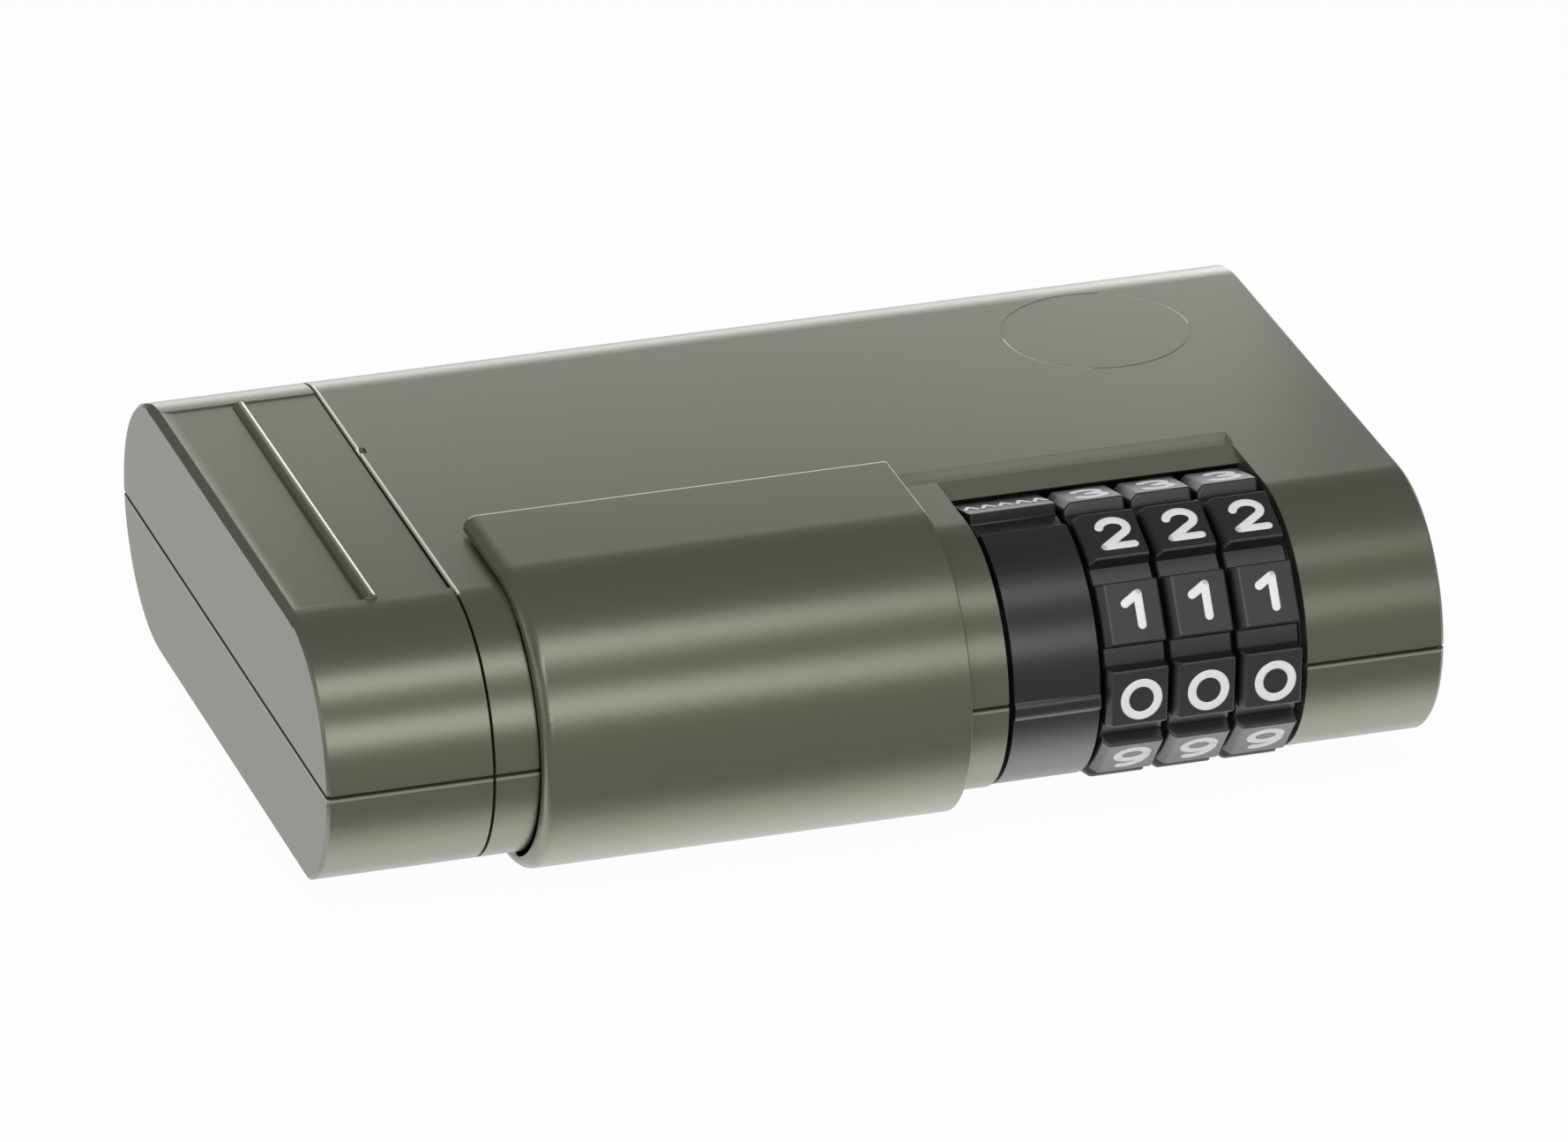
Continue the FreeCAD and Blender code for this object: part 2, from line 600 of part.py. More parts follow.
def drawer_cap():
    body = new_body("drawer_cap")
    pad(body, section(body, "cap_outer", "0", upper_outline()), CAP_RIGHT)
    bevel_end(body, "0", above=True)
    cavity = section(body, "cap_cavity", "Sizes.wall", upper_outline("Sizes.wall"))
    pocket(body, cavity, f"{CAP_RIGHT} - Sizes.wall - Sizes.bulkhead")
    doorway = new_sketch(body, "cap_doorway", "YZ_Plane", f"{BULKHEAD_LEFT} - Sizes.overshoot")
    box_outline(doorway, f"{TRAY_FRONT} + Sizes.tray_wall", BACK_Y, f"{AXIS_Z} - Sizes.overshoot",
                "Sizes.thickness - Sizes.wall - Sizes.panel_depth")
    pocket(body, doorway, "Sizes.bulkhead + 2 * Sizes.overshoot")
    bosses = circles(body, "cap_bosses", AXIS_Z, "Sizes.boss_radius", HEAD_SCREWS)
    pad(body, bosses, f"Sizes.thickness - Sizes.wall / 2 - {AXIS_Z} - Sizes.panel_depth")
    pilots = circles(body, "cap_pilots", AXIS_Z, PILOT, HEAD_SCREWS)
    pocket(body, pilots, f"{PILOT_TOP} - {AXIS_Z}")

    panel = new_sketch(body, "thumb_panel", "XZ_Plane", f"-({BACK_Y})")
    panel_floor = "Sizes.thickness - Sizes.panel_depth"
    outline(panel, [
        ("Sizes.panel_land", "Sizes.thickness"),
        ("Sizes.panel_land + Sizes.panel_slope", panel_floor),
        ("Sizes.cap_length", panel_floor),
        ("Sizes.cap_length", "Sizes.thickness + Sizes.overshoot"),
        ("Sizes.panel_land", "Sizes.thickness + Sizes.overshoot"),
    ])
    panel_width = f"{BACK_Y} - {AXIS_Y} - Sizes.panel_setback"
    pocket(body, panel, panel_width)
    rib = new_sketch(body, "grip_rib", "XZ_Plane", f"-({BACK_Y} - Sizes.rib_width / 2)")
    rib_left = "Sizes.rib_centre - Sizes.rib_width / 2"
    rib_right = "Sizes.rib_centre + Sizes.rib_width / 2"
    shoulder = f"{panel_floor} + Sizes.rib_height - Sizes.rib_width / 2"
    outline(rib, [
        (rib_left, f"{panel_floor} - Sizes.panel_depth"),
        (rib_right, f"{panel_floor} - Sizes.panel_depth"),
        (rib_right, shoulder),
        ("Sizes.rib_centre", f"{panel_floor} + Sizes.rib_height", "Sizes.rib_width / 2", 1),
        (rib_left, shoulder, "Sizes.rib_width / 2", 1),
    ])
    pad(body, rib, f"{panel_width} - Sizes.rib_width / 2")
    pin_seat(body, "cap_pin_seat")


def pin_seat(body, name):
    """The half-round seat of the lock pin in the drawer head's bulkhead."""
    seat = new_sketch(body, name, "YZ_Plane", f"{BULKHEAD_LEFT} - Sizes.overshoot")
    circle(seat, "Sizes.pin_radius + Sizes.running_gap", AXIS_Y, AXIS_Z)
    pocket(body, seat, "Sizes.bulkhead + 2 * Sizes.overshoot")


def drawer_tray():
    body = new_body("drawer_tray")
    pad(body, section(body, "head_outer", "0", lower_outline()), CAP_RIGHT)
    bevel_end(body, "0", above=False)
    seam_groove(body, "head_seam_groove", "-Sizes.overshoot", "Sizes.seam_groove_depth",
                f"{CAP_RIGHT} + Sizes.overshoot")
    cavity = section(body, "head_cavity", "Sizes.wall", lower_outline("Sizes.wall"))
    pocket(body, cavity, f"{CAP_RIGHT} - Sizes.wall - Sizes.bulkhead")
    inner_floor = f"{TRAY_FLOOR} + Sizes.tray_wall"
    doorway = new_sketch(body, "head_doorway", "YZ_Plane", f"{BULKHEAD_LEFT} - Sizes.overshoot")
    box_outline(doorway, f"{TRAY_FRONT} + Sizes.tray_wall", BACK_Y, inner_floor,
                f"{AXIS_Z} + Sizes.overshoot")
    pocket(body, doorway, "Sizes.bulkhead + 2 * Sizes.overshoot")

    start = BULKHEAD_LEFT
    rim = f"({AXIS_Z} - Sizes.tray_top_gap)"
    rise = "(Sizes.front_bulge + Sizes.tray_top_gap)"
    outer = "(Sizes.thickness / 2 - Sizes.wall - Sizes.tray_gap)"
    inner = f"({outer} - Sizes.tray_wall)"
    tray = section(body, "tray_section", start, [
        (TRAY_FRONT, TRAY_FLOOR),
        (BACK_Y, TRAY_FLOOR),
        (f"{BACK_Y} + sqrt({outer}^2 - {rise}^2)", rim, outer, 1),
        (f"{BACK_Y} + sqrt({inner}^2 - {rise}^2)", rim),
        (BACK_Y, inner_floor, inner, -1),
        (f"{TRAY_FRONT} + Sizes.tray_wall", inner_floor),
        (f"{TRAY_FRONT} + Sizes.tray_wall", rim),
        (TRAY_FRONT, rim),
    ])
    pad(body, tray, f"{TRAY_RIGHT} - {start}")
    end_wall = section(body, "tray_end_wall", TRAY_RIGHT, [
        (TRAY_FRONT, TRAY_FLOOR),
        (BACK_Y, TRAY_FLOOR),
        (f"{BACK_Y} + sqrt({outer}^2 - {rise}^2)", rim, outer, 1),
        (TRAY_FRONT, rim),
    ])
    pad(body, end_wall, "Sizes.tray_wall", back=True)

    bosses = circles(body, "head_bosses", "Sizes.head_boss_foot", "Sizes.boss_radius", HEAD_SCREWS)
    pad(body, bosses, f"{AXIS_Z} - Sizes.head_boss_foot")
    holes = circles(body, "head_screw_holes", "-Sizes.overshoot", SHANK_HOLE, HEAD_SCREWS)
    pocket(body, holes, "Sizes.thickness")
    sinks = circles(body, "head_screw_sinks", "-Sizes.overshoot", HEAD_HOLE, HEAD_SCREWS)
    pocket(body, sinks, "Sizes.head_height + Sizes.head_gap + Sizes.overshoot")
    pin_seat(body, "tray_pin_seat")


def key_liner():
    body = new_body("key_liner")
    sheet_outline = new_sketch(body, "liner", "XY_Plane", f"{TRAY_FLOOR} + Sizes.tray_wall")
    box_outline(sheet_outline, f"{CAP_RIGHT} + Sizes.liner_gap",
                f"{TRAY_RIGHT} - Sizes.tray_wall - Sizes.liner_gap",
                f"{TRAY_FRONT} + Sizes.tray_wall + Sizes.liner_gap", BACK_Y)
    pad(body, sheet_outline, "Sizes.liner_thickness")


def lock_pin():
    body = axle_body("lock_pin", f"{CAP_RIGHT}")
    head = "Sizes.bulkhead + Sizes.running_gap + Sizes.pin_flange_length"
    rod = new_sketch(body, "pin_rod", "YZ_Plane", f"-({head})")
    circle(rod, "Sizes.pin_radius")
    pad(body, rod, f"{LAST_FIN} + Sizes.fin_length - {CAP_RIGHT} + {head}")
    for name, start in (("near_flange", f"-({head})"), ("far_flange", "Sizes.running_gap")):
        flange = new_sketch(body, name, "YZ_Plane", start)
        circle(flange, "Sizes.pin_flange_radius")
        pad(body, flange, "Sizes.pin_flange_length")
    first_fin = f"{FIRST_DIAL} + Sizes.dial_width / 2 - Sizes.fin_length / 2 - {CAP_RIGHT}"
    fin = new_sketch(body, "fin", "YZ_Plane", first_fin)
    box_outline(fin, "-Sizes.fin_width / 2", "Sizes.fin_width / 2", "0", "Sizes.fin_reach")
    along(body, pad(body, fin, "Sizes.fin_length"), WHEELS, PITCH)


# ---------------------------------------------------------------- sliding cover

def dial_cover():
    body = new_body("dial_cover")
    inner = f"({FRONT_RADIUS} + Sizes.cover_gap)"
    outer = f"({inner} + Sizes.cover_wall)"
    hook_back = f"({CHANNEL_BACK} - Sizes.hook_gap)"
    hook_front = f"({hook_back} - Sizes.hook_wall)"
    top_tip = "Sizes.thickness - Sizes.channel_depth + Sizes.hook_gap"
    low_tip = "Sizes.channel_depth - Sizes.hook_gap"
    shell = section(body, "cover_section", COVER_LEFT, [
        (hook_back, top_tip),
        (hook_back, f"{AXIS_Z} + {outer}"),
        (AXIS_Y, f"{AXIS_Z} + {outer}"),
        (f"{AXIS_Y} - {outer}", AXIS_Z, outer, 1),
        (AXIS_Y, f"{AXIS_Z} - {outer}", outer, 1),
        (hook_back, f"{AXIS_Z} - {outer}"),
        (hook_back, low_tip),
        (hook_front, low_tip),
        (hook_front, f"{AXIS_Z} - {inner}"),
        (AXIS_Y, f"{AXIS_Z} - {inner}"),
        (f"{AXIS_Y} - {inner}", AXIS_Z, inner, -1),
        (AXIS_Y, f"{AXIS_Z} + {inner}", inner, -1),
        (hook_front, f"{AXIS_Z} + {inner}"),
        (hook_front, top_tip),
    ])
    pad(body, shell, f"{COVER_RIGHT} - {COVER_LEFT}")

    middle = f"({inner} + Sizes.cover_wall / 2)"
    near = f"({FRONT_RADIUS} + Sizes.rim_gap)"
    under = f"({AXIS_Z} + Sizes.rim_gap)"
    rim_back = f"({hook_back} - Sizes.hook_wall / 2)"
    rim = section(body, "cover_rim", COVER_LEFT, [
        (rim_back, f"{AXIS_Z} + {near}"),
        (rim_back, f"{AXIS_Z} + {middle}"),
        (AXIS_Y, f"{AXIS_Z} + {middle}"),
        (f"{AXIS_Y} - {middle}", AXIS_Z, middle, 1),
        (AXIS_Y, f"{AXIS_Z} - {middle}", middle, 1),
        (rim_back, f"{AXIS_Z} - {middle}"),
        (rim_back, "-Sizes.rim_gap"),
        (f"{AXIS_Y} - sqrt({near}^2 - {under}^2)", "-Sizes.rim_gap"),
        (f"{AXIS_Y} - {near}", AXIS_Z, near, -1),
        (AXIS_Y, f"{AXIS_Z} + {near}", near, -1),
    ])
    pad(body, rim, "Sizes.rim_length")

    relief = new_sketch(body, "hook_relief", "YZ_Plane", f"{COVER_LEFT} - Sizes.overshoot")
    box_outline(relief, f"{hook_front} - Sizes.overshoot", f"{hook_back} + Sizes.overshoot",
                AXIS_Z, "Sizes.thickness + Sizes.rim_gap")
    pocket(body, relief, "Sizes.rim_length + Sizes.overshoot")
    low_relief = new_sketch(body, "low_hook_relief", "YZ_Plane", f"{COVER_LEFT} - Sizes.overshoot")
    box_outline(low_relief, f"{hook_front} - Sizes.overshoot", f"{hook_back} + Sizes.overshoot",
                "-Sizes.rim_gap", AXIS_Z)
    pocket(body, low_relief, "Sizes.rim_length + Sizes.overshoot")

    left_x = number(COVER_LEFT)
    mid_y = number(AXIS_Y)
    mid_z = number(AXIS_Z)
    reach = number(outer)

    def on_left_outer_edge(edge):
        """Whether the edge runs along the cover's outer face at its left end."""
        if not lies_at_x(edge, left_x):
            return False
        middle_point = edge.valueAt((edge.FirstParameter + edge.LastParameter) / 2)
        y = middle_point.y - mid_y
        z = middle_point.z - mid_z
        distance = math.hypot(y, z) if y < 0 else abs(z)
        return abs(distance - reach) < NEAR

    dress_edges(body, "Fillet", "Sizes.cover_round", on_left_outer_edge)


# ---------------------------------------------------------------- wheels, drum and lock

def dial(index):
    """One wheel: ten raised pads with flat faces, and a splined bore."""
    label = f"dial_{index}"
    body = axle_body(label, f"{FIRST_DIAL} + {index - 1} * {PITCH}")
    face = f"({CREST} * cos(Sizes.pad_half_angle))"
    half_step = f"{STEP / 2}"
    blank = new_sketch(body, f"{label}_blank", "YZ_Plane")
    corner_radius = f"{face} / cos({half_step})"
    corners = [polar(corner_radius, f"{half_step} - Sizes.dial_tilt + {STEP * turn}")
               for turn in range(DIGITS)]
    outline(blank, corners[::-1])
    pad(body, blank, "Sizes.dial_width")

    valley = new_sketch(body, f"{label}_valley", "YZ_Plane")
    middle = f"{half_step} - Sizes.dial_tilt"
    outside = f"({CREST} + Sizes.overshoot)"
    root = f"({CREST} - Sizes.pad_height)"
    at_crest = f"({half_step} - Sizes.pad_half_angle)"
    at_root = f"({half_step} - Sizes.pad_root_half_angle)"
    outline(valley, [
        polar(root, f"{middle} + {at_root}"),
        polar(CREST, f"{middle} + {at_crest}"),
        polar(outside, f"{middle} + {at_crest}"),
        polar(outside, f"{middle} - {at_crest}"),
        polar(CREST, f"{middle} - {at_crest}"),
        polar(root, f"{middle} - {at_root}"),
    ])
    around(body, pocket(body, valley, "Sizes.dial_width"), DIGITS, grows=False)

    bevel = new_sketch(body, f"{label}_bevel", "XY_Plane")
    outline(bevel, [
        ("0", f"{CREST} - Sizes.pad_bevel_drop"),
        ("Sizes.pad_bevel_length", CREST),
        ("Sizes.pad_bevel_length", f"{CREST} + Sizes.overshoot"),
        ("0", f"{CREST} + Sizes.overshoot"),
    ])
    turned_cut(body, bevel)

    bore = new_sketch(body, f"{label}_bore", "YZ_Plane")
    circle(bore, "Sizes.hub_radius + Sizes.hub_gap")
    pocket(body, bore, "Sizes.dial_width")
    notch = new_sketch(body, f"{label}_notch", "YZ_Plane")
    half = "(Sizes.tooth_width / 2 + Sizes.hub_gap)"
    box_outline(notch, f"-{half}", half, "Sizes.hub_radius / 2",
                "Sizes.hub_radius + Sizes.tooth_height + Sizes.hub_gap")
    around(body, pocket(body, notch, "Sizes.dial_width"), DIGITS, grows=False)


def code_hub(index):
    """The notched hub inside a wheel: splined outside, with an inner groove and one gate."""
    label = f"code_hub_{index}"
    body = axle_body(label, f"{FIRST_DIAL} + {index - 1} * {PITCH} + {HUB_START}")
    disc = new_sketch(body, f"{label}_disc", "YZ_Plane")
    circle(disc, "Sizes.hub_radius")
    pad(body, disc, HUB_LENGTH)
    tooth = new_sketch(body, f"{label}_tooth", "YZ_Plane")
    box_outline(tooth, "-Sizes.tooth_width / 2", "Sizes.tooth_width / 2", "Sizes.hub_radius / 2",
                "Sizes.hub_radius + Sizes.tooth_height")
    around(body, pad(body, tooth, HUB_LENGTH), DIGITS, grows=True)
    bore = new_sketch(body, f"{label}_bore", "YZ_Plane")
    circle(bore, "Sizes.tube_radius + Sizes.running_gap")
    pocket(body, bore, HUB_LENGTH)
    groove = new_sketch(body, f"{label}_groove", "XY_Plane")
    box_outline(groove, f"({HUB_LENGTH} - Sizes.groove_width) / 2",
                f"({HUB_LENGTH} + Sizes.groove_width) / 2", "Sizes.tube_radius / 2", FIN_ROOM)
    turned_cut(body, groove)
    gate = new_sketch(body, f"{label}_gate", "YZ_Plane")
    half = "(Sizes.fin_width / 2 + Sizes.fin_clearance)"
    box_outline(gate, f"-{half}", half, "0", FIN_ROOM)
    pocket(body, gate, HUB_LENGTH)


def reset_drum():
    """The drum beside the wheels: smooth, with a raised tab, a ridge and a slot for its stop."""
    body = axle_body("reset_drum", DRUM_LEFT)
    surface = f"({CREST} - Sizes.drum_recess)"
    barrel = new_sketch(body, "barrel", "YZ_Plane")
    circle(barrel, surface)
    pad(body, barrel, "Sizes.drum_length")
    deep = f"({surface} - Sizes.tab_root)"
    for name, low, high, top in (("tab", "Sizes.tab_from", "Sizes.tab_to", CREST),
                                 ("ridge", "Sizes.ridge_from", "Sizes.ridge_to",
                                  f"({surface} + Sizes.ridge_height)")):
        block = new_sketch(body, name, "YZ_Plane")
        outline(block, [polar(deep, low), polar(deep, high), polar(top, high), polar(top, low)][::-1])
        pad(body, block, "Sizes.drum_length")
    bore = new_sketch(body, "drum_bore", "YZ_Plane")
    circle(bore, "Sizes.hub_radius + Sizes.running_gap")
    pocket(body, bore, "Sizes.drum_length")

    half_width = "(Sizes.stop_peg_radius + Sizes.stop_gap)"
    near = f"(Sizes.stop_radius - {half_width})"
    far = f"(Sizes.stop_radius + {half_width})"
    margin = f"asin({half_width} / {near}) / (1 deg)"
    low = f"180 - {margin}"
    high = f"180 + Sizes.drum_turn + {margin}"
    slot = new_sketch(body, "stop_slot", "YZ_Plane")
    outline(slot, [
        polar(near, low),
        (*polar(near, high), near, -1),
        polar(far, high),
        (*polar(far, low), far, 1),
    ])
    pocket(body, slot, "Sizes.stop_peg_length")


def lock_tube():
    body = axle_body("lock_tube", TUBE_LEFT)
    ring = new_sketch(body, "tube_ring_section", "YZ_Plane")
    circle(ring, "Sizes.tube_radius")
    circle(ring, "Sizes.tube_bore")
    pad(body, ring, f"{TUBE_RIGHT} - {TUBE_LEFT}")
    slot = new_sketch(body, "tube_slot", "YZ_Plane")
    box_outline(slot, "-Sizes.tube_slot / 2", "Sizes.tube_slot / 2", "0", "Sizes.tube_radius + Sizes.overshoot")
    pocket(body, slot, f"{LAST_FIN} + Sizes.fin_length + Sizes.fin_clearance - {TUBE_LEFT}")


def cheek_outline():
    """The section of a chassis cheek, inside the shells."""
    inset = "(Sizes.wall + Sizes.chassis_gap)"
    radius = f"({FRONT_RADIUS} - {inset})"
    return [
        (CHASSIS_BACK, inset),
        (CHASSIS_BACK, f"Sizes.thickness - {inset}"),
        (AXIS_Y, f"Sizes.thickness - {inset}"),
        (f"{AXIS_Y} - sqrt({radius}^2 - ({AXIS_Z} - {inset})^2)", inset, radius, 1),
    ]


def lock_chassis():
    body = new_body("lock_chassis")
    left = f"({WINDOW_LEFT} - Sizes.cheek)"
    right = f"({WINDOW_RIGHT} + Sizes.cheek)"
    inset = "(Sizes.wall + Sizes.chassis_gap)"
    pad(body, section(body, "left_cheek", left, cheek_outline()), "Sizes.cheek")
    wall = new_sketch(body, "back_wall", "YZ_Plane", left)
    box_outline(wall, CHASSIS_FRONT, CHASSIS_BACK, inset, f"Sizes.thickness - {inset}")
    pad(body, wall, f"{right} - {left}")
    pad(body, section(body, "right_cheek", WINDOW_RIGHT, cheek_outline()), "Sizes.cheek")
    bush = new_sketch(body, "drum_bush", "YZ_Plane", f"{WINDOW_LEFT} - Sizes.cheek / 2")
    circle(bush, "Sizes.hub_radius", AXIS_Y, AXIS_Z)
    pad(body, bush, f"{DRUM_LEFT} + Sizes.drum_length - {WINDOW_LEFT} + Sizes.cheek / 2")
    peg = new_sketch(body, "stop_peg", "YZ_Plane", f"{WINDOW_LEFT} - Sizes.cheek / 2")
    circle(peg, "Sizes.stop_peg_radius", f"{AXIS_Y} + Sizes.stop_radius", AXIS_Z)
    pad(body, peg, "Sizes.cheek / 2 + Sizes.stop_peg_length")

    tube_hole = new_sketch(body, "tube_hole", "YZ_Plane", f"{left} - Sizes.overshoot")
    circle(tube_hole, "Sizes.tube_radius + Sizes.running_gap", AXIS_Y, AXIS_Z)
    pocket(body, tube_hole, f"{right} - {left} + 2 * Sizes.overshoot")
    keyway = new_sketch(body, "fin_keyway", "YZ_Plane", f"{left} - Sizes.overshoot")
    half = "(Sizes.fin_width / 2 + Sizes.fin_clearance)"
    box_outline(keyway, f"{AXIS_Y} - {half}", f"{AXIS_Y} + {half}", AXIS_Z, f"{AXIS_Z} + {FIN_ROOM}")
    pocket(body, keyway, f"{DRUM_LEFT} + Sizes.drum_length - {left} + Sizes.overshoot")

    ledge = new_sketch(body, "spring_ledge", "YZ_Plane", FIRST_DIAL)
    spring_level, _ = spring_place()
    box_outline(ledge, f"{CHASSIS_FRONT} - Sizes.spring_root", f"{CHASSIS_BACK} - Sizes.chassis_wall / 2",
                f"{spring_level} - Sizes.chassis_wall", spring_level)
    pad(body, ledge, f"{WINDOW_RIGHT} - Sizes.wheel_gap - {FIRST_DIAL}")

    post_top = "(Sizes.wall + Sizes.post_height)"
    for name, near, far in (("left_foot", f"{left} - Sizes.foot_length", f"{left} + Sizes.cheek / 2"),
                            ("right_foot", f"{right} - Sizes.cheek / 2", f"{right} + Sizes.foot_length")):
        foot = new_sketch(body, name, "XY_Plane", post_top)
        box_outline(foot, near, far, f"{FRONT_SCREW_Y} - Sizes.foot_width / 2",
                    f"{FRONT_SCREW_Y} + Sizes.foot_width / 2")
        pad(body, foot, "Sizes.foot_thickness")
    holes = circles(body, "foot_holes", f"{post_top} - Sizes.overshoot", SHANK_HOLE, FOOT_SCREWS)
    pocket(body, holes, "Sizes.foot_thickness + 2 * Sizes.overshoot")


def spring_place():
    """The leaf spring's underside level, and its fingers' contact with the wheels' sweep."""
    touch = f"({CREST} + Sizes.spring_clearance)"
    contact = (f"({AXIS_Y} + {touch} * cos(Sizes.spring_angle))",
               f"({AXIS_Z} + {touch} * sin(Sizes.spring_angle))")
    return f"({contact[1]} + Sizes.spring_bump)", contact


def detent_spring():
    """A comb of three leaf fingers on the chassis, each ending in a bump over a wheel."""
    body = new_body("detent_spring")
    level, (bump_y, bump_z) = spring_place()
    root = f"({CHASSIS_FRONT} - Sizes.spring_root)"
    strip = new_sketch(body, "spring_strip", "YZ_Plane", FIRST_DIAL)
    box_outline(strip, root, CHASSIS_FRONT, level, f"{level} + Sizes.spring_thickness")
    pad(body, strip, f"{WINDOW_RIGHT} - Sizes.wheel_gap - {FIRST_DIAL}")
    finger = new_sketch(body, "spring_finger", "YZ_Plane",
                        f"{FIRST_DIAL} + (Sizes.dial_width - Sizes.spring_finger_width) / 2")
    outline(finger, [
        (f"{root} + Sizes.spring_thickness", level),
        (f"{root} + Sizes.spring_thickness", f"{level} + Sizes.spring_thickness"),
        (f"{bump_y} - Sizes.spring_thickness", f"{level} + Sizes.spring_thickness"),
        (f"{bump_y} - Sizes.spring_thickness", level),
        (bump_y, bump_z),
        (f"{bump_y} + Sizes.spring_thickness", level),
    ])
    along(body, pad(body, finger, "Sizes.spring_finger_width"), WHEELS, PITCH)


def tube_rings():
    """Two open rings around the tube, one outside each cheek."""
    radius = number("Sizes.tube_ring_radius")
    inner = number("Sizes.tube_radius + Sizes.running_gap")
    opening = number("Sizes.tube_ring_opening")
    thickness = number("Sizes.tube_ring_thickness")
    rings = []
    for start in (f"{WINDOW_LEFT} - Sizes.cheek - Sizes.tube_ring_thickness",
                  f"{WINDOW_RIGHT} + Sizes.cheek"):
        centre = FreeCAD.Vector(number(start), number(AXIS_Y), number(AXIS_Z))
        axis = FreeCAD.Vector(1, 0, 0)
        ring = Part.makeCylinder(radius, thickness, centre, axis).cut(
            Part.makeCylinder(inner, thickness, centre, axis))
        corner = centre + FreeCAD.Vector(0, -opening / 2, 0)
        rings.append(ring.cut(Part.makeBox(thickness, opening, 2 * radius, corner)))
    loose_piece("tube_rings", rings)


def screws(label, places, head_bottom, length, points_up=True):
    """A group of screws, each a shank with a round head."""
    shank_radius = number("Sizes.shank_radius")
    head_radius = number("Sizes.head_radius")
    head_height = number("Sizes.head_height")
    slot = number("Sizes.head_gap")
    bottom = number(head_bottom)
    reach = number(length)
    solids = []
    for x, y in places:
        start = FreeCAD.Vector(number(x), number(y), bottom)
        head = Part.makeCylinder(head_radius, head_height, start)
        shank_start = start + FreeCAD.Vector(0, 0, head_height if points_up else -reach)
        screw = head.fuse(Part.makeCylinder(shank_radius, reach, shank_start)).removeSplitter()
        outside = start + FreeCAD.Vector(0, 0, 0 if points_up else head_height)
        for length_x, length_y in ((head_radius, slot), (slot, head_radius)):
            corner = outside + FreeCAD.Vector(-length_x / 2, -length_y / 2, -head_height / 2)
            screw = screw.cut(Part.makeBox(length_x, length_y, head_height, corner))
        solids.append(screw)
    loose_piece(label, solids)


def loose_piece(label, solids):
    """A piece made of separate solids, brought from the case frame into the part's frame."""
    piece = doc.addObject("Part::Feature", label)
    piece.Label = label
    piece.Shape = Part.makeCompound(solids) if len(solids) > 1 else solids[0]
    piece.Placement.Base = FreeCAD.Vector(
        number("-Sizes.length / 2"),
        number(f"-(Sizes.depth - {COVER_PROUD}) / 2"),
        number("Sizes.magnet_stand"))
    pieces.append(piece)


# ---------------------------------------------------------------- magnets

def magnet(label, place):
    """A block magnet with rounded corners; its lower face is what the box rests on."""
    body = new_body(label, f"{MAGNETS_LEFT} + {place} * (Sizes.magnet_length + Sizes.magnet_space)")
    block = new_sketch(body, f"{label}_block", "XY_Plane", "-Sizes.magnet_stand")
    rounded_box(block, "0", MAGNETS_FRONT, "Sizes.magnet_length", MAGNET_WIDTH, "Sizes.magnet_corner")
    pad(body, block, f"Sizes.magnet_stand + {KEEPER_BOTTOM}")


def magnet_keeper():
    body = new_body("magnet_keeper", MAGNETS_LEFT)
    plate = new_sketch(body, "keeper_plate", "XY_Plane", KEEPER_BOTTOM)
    box_outline(plate, "0", "2 * Sizes.magnet_length + Sizes.magnet_space", MAGNETS_FRONT,
                f"{MAGNETS_FRONT} + {MAGNET_WIDTH}")
    pad(body, plate, "Sizes.keeper_thickness")


# ---------------------------------------------------------------- build, check and export

upper_shell()
lower_shell()
drawer_cap()
drawer_tray()
key_liner()
lock_pin()
dial_cover()
for wheel in range(1, WHEELS + 1):
    dial(wheel)
    code_hub(wheel)
reset_drum()
lock_tube()
lock_chassis()
detent_spring()
tube_rings()
magnet("magnet_left", 0)
magnet("magnet_right", 1)
magnet_keeper()
screws("case_screws", CASE_SCREWS, "Sizes.head_gap", "Sizes.case_screw_length")
screws("drawer_screws", HEAD_SCREWS, "Sizes.head_gap", "Sizes.case_screw_length")
screws("chassis_screws", FOOT_SCREWS, "Sizes.wall + Sizes.post_height + Sizes.foot_thickness",
       "Sizes.foot_screw_length", points_up=False)

doc.recompute()
for item in doc.Objects:
    if "Invalid" in item.State or "Error" in item.State:
        raise RuntimeError(f"{item.Label} failed: {item.State}")
os.makedirs("parts", exist_ok=True)
for piece in pieces:
    shape = piece.Shape
    if shape.isNull() or not shape.isValid():
        raise RuntimeError(f"{piece.Label} has no valid shape")
    shape.exportStep(f"parts/{piece.Label}.step")
    box = shape.BoundBox
    print(f"{piece.Label}: {len(shape.Solids)} solid(s), {shape.Volume:.0f} mm3, "
          f"x {box.XMin:.2f} {box.XMax:.2f}, y {box.YMin:.2f} {box.YMax:.2f}, z {box.ZMin:.2f} {box.ZMax:.2f}")
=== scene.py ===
# %% [markdown]
# # A magnetic key box with a number lock
#
# The object is a flat plastic box, about as large as a phone, that sticks to steel by two magnets. A drawer
# for a key pulls out of its left end once three number wheels show the right code. A C-shaped cover slides
# over the wheels. This script dresses the solids of the box, which come in as a ready frame, and teaches the
# Blender steps on the way: merging and rounding solid meshes, Geometry Nodes for what repeats, digits
# wrapped on flat pads, and materials built from nodes.

# %% Load the frame
import json
import math
import bmesh
import bpy
from mathutils import Matrix, Vector

